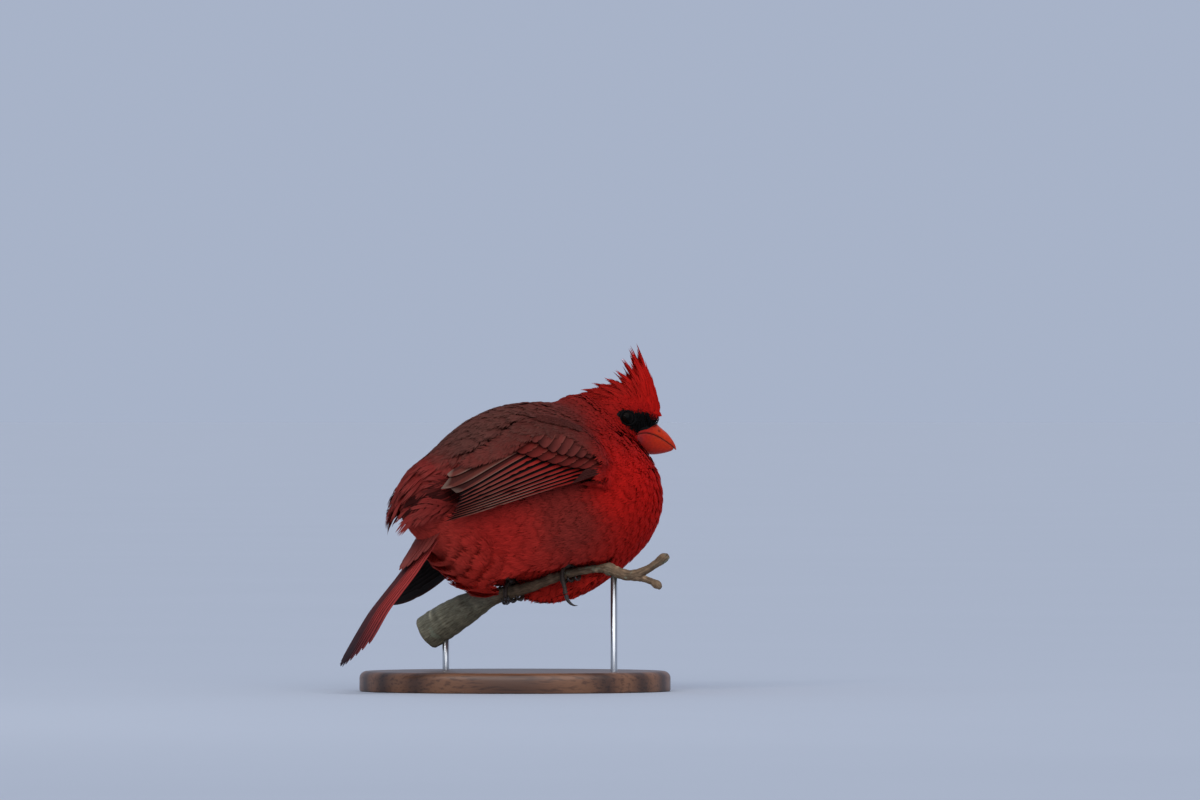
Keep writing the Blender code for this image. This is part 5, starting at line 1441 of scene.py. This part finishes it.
horn_finish, tree, shader = finish_of(
    "bill_horn", 0.42, Specular_IOR_Level=0.14, Subsurface_Weight=0.08, Subsurface_Scale=0.0015,
)
tint = attribute(tree, "tint")
place = object_place(tree)
mottle = graded(tree, speckle(tree, place, 700, 4.0), ((0.3, (0.82, 0.80, 0.78)), (0.7, (1.1, 1.08, 1.05))))
coloured(tree, shader, blended(tree, "MULTIPLY", 1.0, tint, mottle))
growth = speckle(tree, place, 1500, 3.0, stretch=(0.25, 1, 1))
embossed(tree, shader, growth, 0.12, 0.0002)
halves = (("bill_upper", BILL_RIDGE, 26.3, MOUTH_GAP), ("bill_lower", BILL_KEEL, 24.9, -MOUTH_GAP))
for name, edge, tip, gap in halves:
    f = (BILL_START + (tip - BILL_START) * np.sin(np.linspace(0, np.pi / 2, 48)))[:, None]
    angle = np.linspace(0, np.pi, 33)[None, :]
    mouth = eased(BILL_MOUTH, f) + gap
    rim = eased(edge, f)
    half = eased(BILL_HALF_WIDTH, f)
    blunt = np.sqrt(np.clip(1 - ((f - tip + BLUNT) / BLUNT).clip(0, 1) ** 2, 0.02, 1))
    middle = (mouth + rim) / 2
    mouth, rim, half = middle + (mouth - middle) * blunt, middle + (rim - middle) * blunt, half * blunt
    l = half * np.cos(angle)
    u = mouth + (rim - mouth) * np.sin(angle) ** 0.85
    pit = np.exp(-(((f - NOSTRIL[0]) / 0.95) ** 2 + ((u - NOSTRIL[1]) / 0.6) ** 2)) * (gap > 0)
    l = l - np.sign(l) * 0.9 * pit
    arch = np.stack(np.broadcast_arrays(f, l, u), -1)
    floor_line = arch[:, -1:] + (arch[:, :1] - arch[:, -1:]) * np.linspace(0, 1, 10)[1:-1, None]
    ring = np.concatenate([arch, floor_line], axis=1)
    back = ring.mean(1, keepdims=True)[:1] + (ring[:1] - ring[:1].mean(1, keepdims=True)) * 0.02
    front = ring[-1:].mean(1, keepdims=True) + (ring[-1:] - ring[-1:].mean(1, keepdims=True)) * 0.02
    points = np.concatenate([back, ring, front])
    faces = grid_faces(len(points), points.shape[1], closed=True)
    faces = faces if gap > 0 else faces[:, ::-1]
    f, l, u = np.moveaxis(points, -1, 0)
    high = np.clip((u + 9) / 10, 0, 1)[..., None]
    tone = mixed(srgb(182, 34, 12), srgb(200, 54, 12), high)
    tone = mixed(tone, srgb(176, 30, 22), np.clip((14 - f) / 6, 0, 1)[..., None])
    grey = np.clip((9.5 - f) / 3, 0, 1)[..., None] * np.clip((-4.5 - u) / 5, 0, 1)[..., None] * 0.7
    tone = mixed(tone, srgb(92, 56, 62), grey)
    # A darker band along the mouth line is painted shade in the crease where the halves meet
    mouth_line_shade = np.exp(-(((u - eased(BILL_MOUTH, f)) / 0.35) ** 2))[..., None] * 0.55
    tone = mixed(tone, srgb(92, 40, 30), mouth_line_shade)
    # The nostrils are painted dark: shade inside their pits
    nostril_shade = np.exp(-(((f - NOSTRIL[0]) / 0.7) ** 2 + ((u - NOSTRIL[1]) / 0.42) ** 2))[..., None] * (gap > 0)
    tone = tone * (1 - 0.95 * nostril_shade) + srgb(40, 16, 14) * 0.95 * nostril_shade
    piece(
        name, from_head(points.reshape(-1, 3)), faces, horn_finish, "bill_horn", (name,),
        tint=tone.reshape(-1, 3),
    )
# A thin dark sheet between the halves, inside the bill's sides, is painted shade in the mouth's gap
mouth_gap_shade_finish, tree, shader = finish_of("mouth_gap_shade", 0.6)
shader.inputs["Base Color"].default_value = (*srgb(58, 26, 22), 1)
f = np.linspace(5.2, 24.6, 30)[:, None]
angle = np.linspace(0, 2 * np.pi, 17)[None, :-1]
half = np.maximum(eased(BILL_HALF_WIDTH, f) - 0.35, 0.15)
u = eased(BILL_MOUTH, f) + 0.3 * np.sin(angle)
gape = np.stack(np.broadcast_arrays(f, half * np.cos(angle), u), -1)
piece("bill_gape_shade", from_head(gape.reshape(-1, 3)), grid_faces(30, 16, closed=True), mouth_gap_shade_finish, "bill_horn")

# The eyes: glassy dark balls with a brown iris round a black pupil, set in rings of small dark
# granular lids that stand a little proud of the face.
EYE_PLACE = (-3.0, 9.6, -1.2)
EYE_RADIUS = 4.1
EYE_RINGS, EYE_SPOKES = 33, 48
LID_RADIUS = 3.3
LID_SPOKES, LID_ROUND = 96, 16
eye_finish, tree, shader = finish_of("eye_glass", 0.04, Specular_IOR_Level=0.035)
coloured(tree, shader, attribute(tree, "tint"))
lid_finish, tree, shader = finish_of("lid_skin", 0.75, Specular_IOR_Level=0.08)
grain = speckle(tree, object_place(tree), 2600, 2.0)
coloured(tree, shader, graded(tree, grain, ((0.3, srgb(3, 3, 3)), (0.7, srgb(11, 10, 10)))))
embossed(tree, shader, grain, 0.5, 0.0003)
for side_name, side in (("left", 1), ("right", -1)):
    polar, around = over_ball(EYE_RINGS, EYE_SPOKES)
    out = np.stack([np.sin(polar) * np.cos(around), side * np.cos(polar), np.sin(polar) * np.sin(around)], -1)
    points = np.array(EYE_PLACE) * (1, side, 1) + EYE_RADIUS * out
    points[..., 1] += side * 0.35 * np.exp(-((polar / 0.5) ** 2))
    iris = np.clip((polar - 0.36) / 0.04, 0, 1) * np.clip((0.66 - polar) / 0.04, 0, 1)
    tone = mixed(srgb(6, 5, 5), srgb(15, 10, 7), iris[..., None])
    faces = grid_faces(EYE_RINGS, EYE_SPOKES, closed=True)
    piece(
        "eye_" + side_name, from_head(points.reshape(-1, 3)), faces if side > 0 else faces[:, ::-1],
        eye_finish, "eye", ("eye_" + side_name,), tint=tone.reshape(-1, 3),
    )
    turn, tube = (np.linspace(0, 2 * np.pi, spokes + 1)[:-1] for spokes in (LID_SPOKES, LID_ROUND))
    turn, tube = np.meshgrid(turn, tube, indexing="ij")
    wrinkle = 1 + 0.1 * np.sin(23 * turn) * np.cos(tube) + 0.08 * np.sin(2 * tube + 5 * turn)
    thick = 0.45 * wrinkle * (1 + 0.3 * np.abs(np.cos(turn)))
    reach = LID_RADIUS + thick * np.cos(tube)
    lids = np.stack([
        EYE_PLACE[0] + reach * 1.06 * np.cos(turn) + 0.2, side * (EYE_PLACE[1] + 2.5 + thick * np.sin(tube)),
        EYE_PLACE[2] + reach * 0.93 * np.sin(turn) * (1 - 0.06 * np.cos(turn)),
    ], -1)
    faces = grid_faces(LID_SPOKES + 1, LID_ROUND, closed=True) % (LID_SPOKES * LID_ROUND)
    piece(
        "lids_" + side_name, from_head(lids.reshape(-1, 3)), faces if side > 0 else faces[:, ::-1],
        lid_finish, "eye", ("head",),
    )

# The perch: a cut length of rough olive-grey branch that thins into a knobby brown twig with a
# short fork. Its bark is ridged along the grain and grown over with patches of pale lichen.
FORK = (
    (51.8, -21.3, 52.0, 1.9), (57.2, -24.3, 51.1, 1.6), (61.2, -26.5, 49.7, 1.5),
    (63.9, -28.0, 48.2, 1.9), (65.3, -28.8, 46.8, 1.0),
)


def swept(line, radius, around, up=(0, 0, 1.0)):
    """Rings of points round a line in mm with closed ends, the radius given per ring or point.

    Each ring lies across the line, spanned by the direction nearest to up and the one beside it.
    """
    way = np.gradient(line, axis=0)
    way /= np.linalg.norm(way, axis=1, keepdims=True)
    over = np.asarray(up) - way * (way @ np.asarray(up))[:, None]
    over /= np.linalg.norm(over, axis=1, keepdims=True)
    beside = np.cross(way, over)
    angle = np.linspace(0, 2 * np.pi, around + 1)[:-1]
    spokes = over[:, None] * np.cos(angle)[None, :, None] + beside[:, None] * np.sin(angle)[None, :, None]
    rings = line[:, None] + spokes * np.broadcast_to(radius, (len(line), around))[..., None]
    caps = [
        line[k] + (rings[k] - line[k])[None] * share
        for k, share in ((0, 0.03), (0, 0.6), (-1, 0.6), (-1, 0.03))
    ]
    points = np.concatenate([*caps[:2], rings, *caps[2:]])
    return points.reshape(-1, 3), grid_faces(len(points), around, closed=True)[:, ::-1]


def waves(x, seed, count=7, steep=1.0):
    """A sum of sines of growing pitch over values of x, seeded, from about -1 to 1."""
    draw = np.random.default_rng(seed)
    total = 0.0
    for k in range(1, count + 1):
        total = total + np.sin(x * k * draw.uniform(0.7, 1.3) + draw.uniform(0, 6.3)) / k**steep
    return total / 2


bark_finish, tree, shader = finish_of("bark", 0.88, Specular_IOR_Level=0.25)
tint = attribute(tree, "tint")
lie = attribute(tree, "lie", "Vector")
place = object_place(tree)
grain = speckle(tree, lie, 1.0, 6.0, stretch=(0.22, 1.5, 1.5), rough=0.65)
rough_stops = ((0.3, (0.45, 0.43, 0.4)), (0.5, (0.95, 0.95, 0.95)), (0.72, (1.5, 1.5, 1.45)))
rough_tone = graded(tree, grain, rough_stops)
lichen = speckle(tree, place, 150, 5.0, rough=0.7)
patches = graded(tree, lichen, ((0.58, (0, 0, 0)), (0.64, (1, 1, 1))))
bark_tone = blended(tree, "MULTIPLY", 1.0, tint, rough_tone)
LICHEN_SHARE = 0.55
overgrown = node(tree, "ShaderNodeMath", operation="MULTIPLY")
tree.links.new(patches, overgrown.inputs[0])
tree.links.new(attribute(tree, "tint", "Alpha"), overgrown.inputs[1])
thinned = node(tree, "ShaderNodeMath", operation="MULTIPLY")
tree.links.new(overgrown.outputs[0], thinned.inputs[0])
thinned.inputs[1].default_value = LICHEN_SHARE
coloured(tree, shader, blended(tree, "MIX", thinned.outputs[0], bark_tone, srgb(134, 142, 120)))
embossed(tree, shader, grain, 0.7, 0.0009)
# Knobs where buds were: mm along the wood, and the angle round it from above
BUDS = ((46, 1.0), (58, 4.2), (69, 0.4), (83, 5.2), (93, 2.2), (103, 0.2), (8, 0.8), (13, 4.4))
for name, knots, rings, around, seed in (("perch", BRANCH, 420, 56, 5), ("perch_fork", FORK, 90, 36, 6)):
    line = smooth_line(knots, rings)
    run = run_along(line[:, :3])[:, None]
    angle = np.linspace(0, 2 * np.pi, around + 1)[None, :-1]
    radius = line[:, 3:4]
    ridges = waves(6 * angle + waves(run / 7, seed), seed + 1, 5) * 0.035
    knobs = 0.05 * waves(run / 1.6, seed + 2, 5) + 0.04 * waves(run / 0.8 + 2 * np.cos(angle), seed + 3, 6)
    buds = sum(
        0.5 * np.exp(-(((run - at) / 0.9) ** 2) - ((np.angle(np.exp(1j * (angle - face))) / 0.55) ** 2))
        for at, face in BUDS
    )
    relief = radius * (1 + ridges + knobs * np.clip(3 / radius, 0.4, 1)) + 0.9 * buds
    points, faces = swept(line[:, :3], relief, around)
    slim = np.clip((4.5 - radius) / 2, 0, 1)[..., None] * np.ones((1, around, 1))
    tone = mixed(srgb(122, 117, 97), srgb(116, 94, 73), slim)
    high = (ridges + knobs + buds)[..., None] * 3
    tone = np.clip(tone * (1 + high), 0.003, 1)
    if name == "perch":
        cut = np.clip((0.5 - run) / 0.3, 0, 1)[..., None]
        tone = tone * (1 - 0.6 * cut) + srgb(120, 96, 66) * 0.6 * cut
    lie = np.stack(np.broadcast_arrays(run, radius * np.cos(angle), radius * np.sin(angle)), -1)
    tone = np.concatenate([tone[:1], tone[:1], tone, tone[-1:], tone[-1:]])
    lie = np.concatenate([lie[:1] * (1, 0.1, 0.1), lie[:1] * (1, 0.6, 0.6), lie, lie[-1:], lie[-1:]])
    if name == "perch":
        tone[:2] = srgb(142, 116, 82)
    piece(
        name, points, faces, bark_finish, "bark", ("perch",), tint=tone.reshape(-1, 3), lie=lie.reshape(-1, 3)
    )

# The legs and feet: dark brown scaled skin, with ring-like scutes over the shanks and toes and
# pads beneath, the front toes wrapped over the twig, and curved horn claws. The near foot's
# hind toe hangs free of the twig.
leg_finish, tree, shader = finish_of("leg_skin", 0.5, Specular_IOR_Level=0.35)
tint = attribute(tree, "tint")
skin_grain = speckle(tree, object_place(tree), 1800, 4.0)
grain_tone = graded(tree, skin_grain, ((0.3, (0.6, 0.58, 0.56)), (0.7, (1.25, 1.2, 1.15))))
coloured(tree, shader, blended(tree, "MULTIPLY", 1.0, tint, grain_tone))
embossed(tree, shader, skin_grain, 0.4, 0.0003)
claw_finish, tree, shader = finish_of("claw_horn", 0.3, Coat_Weight=0.2, Coat_Roughness=0.2)
horn_grain = speckle(tree, object_place(tree), 900)
coloured(tree, shader, graded(tree, horn_grain, ((0.3, srgb(30, 24, 22)), (0.7, srgb(62, 50, 44)))))


def twig_frame(x):
    """The twig's middle at x, its directions along, up and to the far side, and its radius."""
    spot, radius = on_twig(x)
    along = unit(on_twig(x + 1)[0] - spot)
    up = unit(np.array([0, 0, 1.0]) - along * along[2])
    return spot, along, up, np.cross(up, along), radius


def wrapped(x, angles, shifts, stand_off):
    """Points in mm that wrap the twig at x: angles run from its far side over the top."""
    spot, along, up, far, radius = twig_frame(x)
    turn = np.radians(np.asarray(angles, float))[:, None]
    reach = radius + np.asarray(stand_off, float)[..., None]
    slid = spot + along * np.asarray(shifts, float)[:, None]
    return slid + reach * (far * np.cos(turn) + up * np.sin(turn))


def scaly(name, line, radii, scutes, up, nodes, pads=0):
    """A leg or toe: rings along a line, stepped by scutes above and swollen by pads below."""
    count = 10 * scutes
    fine = smooth_line(np.column_stack([line, radii]), count)
    share = np.linspace(0, 1, count)[:, None]
    angle = np.linspace(0, 2 * np.pi, 29)[None, :-1]
    front = np.clip(np.cos(angle) * 1.4 + 0.35, 0, 1)
    step = (share * scutes) % 1.0
    scale = front * (0.075 * step - 0.10 * np.exp(-((step / 0.16) ** 2)))
    sole = np.clip(-np.cos(angle) * 1.5 - 0.2, 0, 1) * 0.16 * np.cos(2 * np.pi * pads * share) * (pads > 0)
    points, faces = swept(fine[:, :3], fine[:, 3:4] * (1 + scale + sole), 28, up)
    shade = 1 - 0.55 * np.exp(-((step / 0.14) ** 2)) * front
    tone = srgb(70, 56, 46) * shade[..., None] * (0.85 + 0.25 * front[..., None])
    tone = np.concatenate([tone[:1], tone[:1], tone, tone[-1:], tone[-1:]])
    piece(name, points, faces, leg_finish, "leg_skin", nodes, tint=tone.reshape(-1, 3))


def claw(name, line, thick, up, nodes):
    """A claw: a curved cone, deeper than wide, from the toe's end to a sharp point."""
    fine = smooth_line(line, 30)
    share = np.linspace(0, 1, 30)[:, None]
    angle = np.linspace(0, 2 * np.pi, 17)[None, :-1]
    radius = thick * (1 - share**1.6) * (1 + 0.12 * np.cos(2 * angle)) + 0.06
    points, faces = swept(fine, radius, 16, up)
    piece(name, points, faces, claw_finish, "claw_horn", nodes)


TOE_RADIUS = 1.05
STAND_OFF = TOE_RADIUS + 0.34
PALM_HALF = (2.1, 2.0, 1.75)
FEET = {
    "right": {
        "x": 24.4, "heel": (12.3, -13.5, 67.5),
        "toes": {"inner": (-88, -3.4), "middle": (-96, 0.5), "outer": (-84, 4.0)},
        "hind": (
            (23.2, -6.6, 56.6), (21.4, -8.6, 54.6), (21.4, -9.1, 51.0), (22.2, -9.5, 47.0),
            (22.8, -9.7, 43.9),
        ),
        "hind_claw": (
            (22.95, -9.75, 43.5), (23.5, -9.8, 41.5), (24.9, -9.9, 39.7), (26.6, -10.0, 38.7),
            (28.3, -10.1, 38.7),
        ),
    },
    "left": {
        "x": -1.3, "heel": (-12, 0, 59),
        "toes": {"inner": (-92, 3.6), "middle": (-100, -0.4), "outer": (-88, -4.2)},
        "hind": wrapped(-1.3, (100, 135, 170, 205), (0, -0.6, -1.2, -1.8), np.full(4, STAND_OFF)),
        "hind_claw": wrapped(-1.3, (211, 232, 250, 262), (-2, -2.5, -2.8, -3), (1.3, 2, 1.9, 1.2)),
    },
}
for side_name, foot in FEET.items():
    x = foot["x"]
    spot, along, up, far, radius = twig_frame(x)
    name = "foot_" + side_name
    for toe, (end, shift) in foot["toes"].items():
        share = np.linspace(0, 1, 9)
        line = wrapped(x, np.linspace(98, end, 9), shift * share**0.8, np.full(9, STAND_OFF))
        scaly(name + "_toe_" + toe, line, TOE_RADIUS * (1 - 0.18 * share), 9, up + 0.6 * far, (name,), pads=3)
        bend, rise = np.linspace(end - 6, end - 62, 6), np.linspace(0, 1, 6)
        off = STAND_OFF - 0.1 + 0.9 * np.sin(rise * np.pi) - 0.25 * rise
        claw_name = "claw_" + side_name + "_" + toe
        claw(claw_name, wrapped(x, bend, np.full(6, shift), off), 0.74, along, (claw_name,))
    line = smooth_line(foot["hind"], 9)
    scaly(name + "_toe_hind", line, TOE_RADIUS * (1 - 0.1 * np.linspace(0, 1, 9)), 9, along, (name,), pads=2)
    claw("claw_" + side_name + "_hind", foot["hind_claw"], 0.8, along, ("claw_" + side_name + "_hind",))
    polar, around = over_ball(17, 24)
    ball = np.stack([
        PALM_HALF[0] * np.sin(polar) * np.cos(around), PALM_HALF[1] * np.sin(polar) * np.sin(around),
        PALM_HALF[2] * np.cos(polar),
    ], -1)
    ball = ball * (1 + 0.03 * np.sin(9 * around) * np.sin(6 * polar))[..., None]
    piece(
        name + "_palm", (spot + up * (radius + 1.95) + ball).reshape(-1, 3), grid_faces(17, 24, closed=True),
        leg_finish, "leg_skin", (name,), tint=np.ones((17 * 24, 3)) * srgb(66, 53, 44),
    )
    top = spot + up * (radius + 2.2)
    heel = np.array(foot["heel"], float)
    line = smooth_line([top, top * 0.5 + heel * 0.5 + up * 0.4, heel], 7)
    shank = "tarsus_" + side_name
    scaly(shank, line, (1.4, 1.15, 1.05, 1.05, 1.1, 1.3, 1.6), 11, -far - 0.4 * up, (shank,))

# The display stand: an oval walnut plate with a rounded upper edge, and two plain steel rods
# that stand in it and hold the branch from beneath.
wood_finish, tree, shader = finish_of("base_wood", 0.42, Coat_Weight=0.12, Coat_Roughness=0.3)
place = object_place(tree)
warp = speckle(tree, place, 12, 3.0, stretch=(1, 3, 3))
figure = node(
    tree, "ShaderNodeTexWave", wave_type="BANDS", bands_direction="Y", Scale=26, Distortion=5.0,
    Detail=3.0, Detail_Scale=0.6,
)
tree.links.new(stretched(tree, place, (0.12, 1, 1)), figure.inputs["Vector"])
ring_stops = ((0.0, srgb(70, 44, 30)), (0.5, srgb(104, 68, 46)), (1.0, srgb(122, 82, 56)))
rings_tone = graded(tree, figure.outputs["Fac"], ring_stops)
pores = speckle(tree, place, 900, 2.0, stretch=(0.05, 1, 1))
pore_tone = graded(tree, pores, ((0.35, (0.55, 0.52, 0.5)), (0.5, (1, 1, 1))))
cloud = graded(tree, warp, ((0.3, (0.85, 0.84, 0.82)), (0.7, (1.1, 1.08, 1.06))))
grained = blended(tree, "MULTIPLY", 1.0, rings_tone, pore_tone)
coloured(tree, shader, blended(tree, "MULTIPLY", 1.0, grained, cloud))
embossed(tree, shader, pores, 0.15, 0.0002)
BASE_HALF = (70, 48)
BASE_HEIGHT = 9
BASE_SPOKES = 180
EDGE_START, EDGE_ROUND = 5.8, 3.2
# Heights and insets of the base's profile. Insets over FLAT_FROM shrink the oval to its middle.
FLAT_FROM = 10
profile = [(0, BASE_HALF[0]), (0, 0.6), (0.15, 0.25), (0.6, 0), (EDGE_START, 0)]
for t in np.linspace(0, np.pi / 2, 9)[1:]:
    profile.append((EDGE_START + EDGE_ROUND * np.sin(t), EDGE_ROUND * (1 - np.cos(t))))
profile += [(BASE_HEIGHT, 3.6), (BASE_HEIGHT, 12), (BASE_HEIGHT, BASE_HALF[0])]
angle = np.linspace(0, 2 * np.pi, BASE_SPOKES + 1)[:-1]
rings = []
for height, inset in profile:
    shrink = 1 - inset / BASE_HALF[0] if inset > FLAT_FROM else 1.0
    edge = 0 if inset > FLAT_FROM else inset
    rings.append(np.stack([
        (BASE_HALF[0] - edge) * shrink * np.cos(angle), (BASE_HALF[1] - edge) * shrink * np.sin(angle),
        np.full(BASE_SPOKES, float(height)),
    ], -1))
piece(
    "stand_base", np.concatenate(rings), grid_faces(len(profile), BASE_SPOKES, closed=True), wood_finish,
    "base_wood", ("stand_base",),
)
steel_finish, tree, shader = finish_of("rod_steel", 0.28, Metallic=1.0)
brushed = speckle(tree, object_place(tree), 2500, 2.0, stretch=(1, 1, 0.03))
coloured(tree, shader, graded(tree, brushed, ((0.3, (0.42, 0.43, 0.44)), (0.7, (0.6, 0.61, 0.62)))))
ROD_RADIUS = 1.5
ROD_SINK = 1.0
for name, (x, y) in {"front": (44.5, -17.4), "rear": (-31.5, 24.5)}.items():
    top = np.interp(x, twig[:, 0], twig[:, 2])
    line = np.array([[x, y, z] for z in (3.5, 8.9, 9.0, 9.3, top - ROD_SINK)])
    points, faces = swept(line, np.full((len(line), 1), ROD_RADIUS), 40, up=(1.0, 0, 0))
    piece("stand_rod_" + name, points, faces, steel_finish, "rod_steel", ("stand_rod_" + name,))
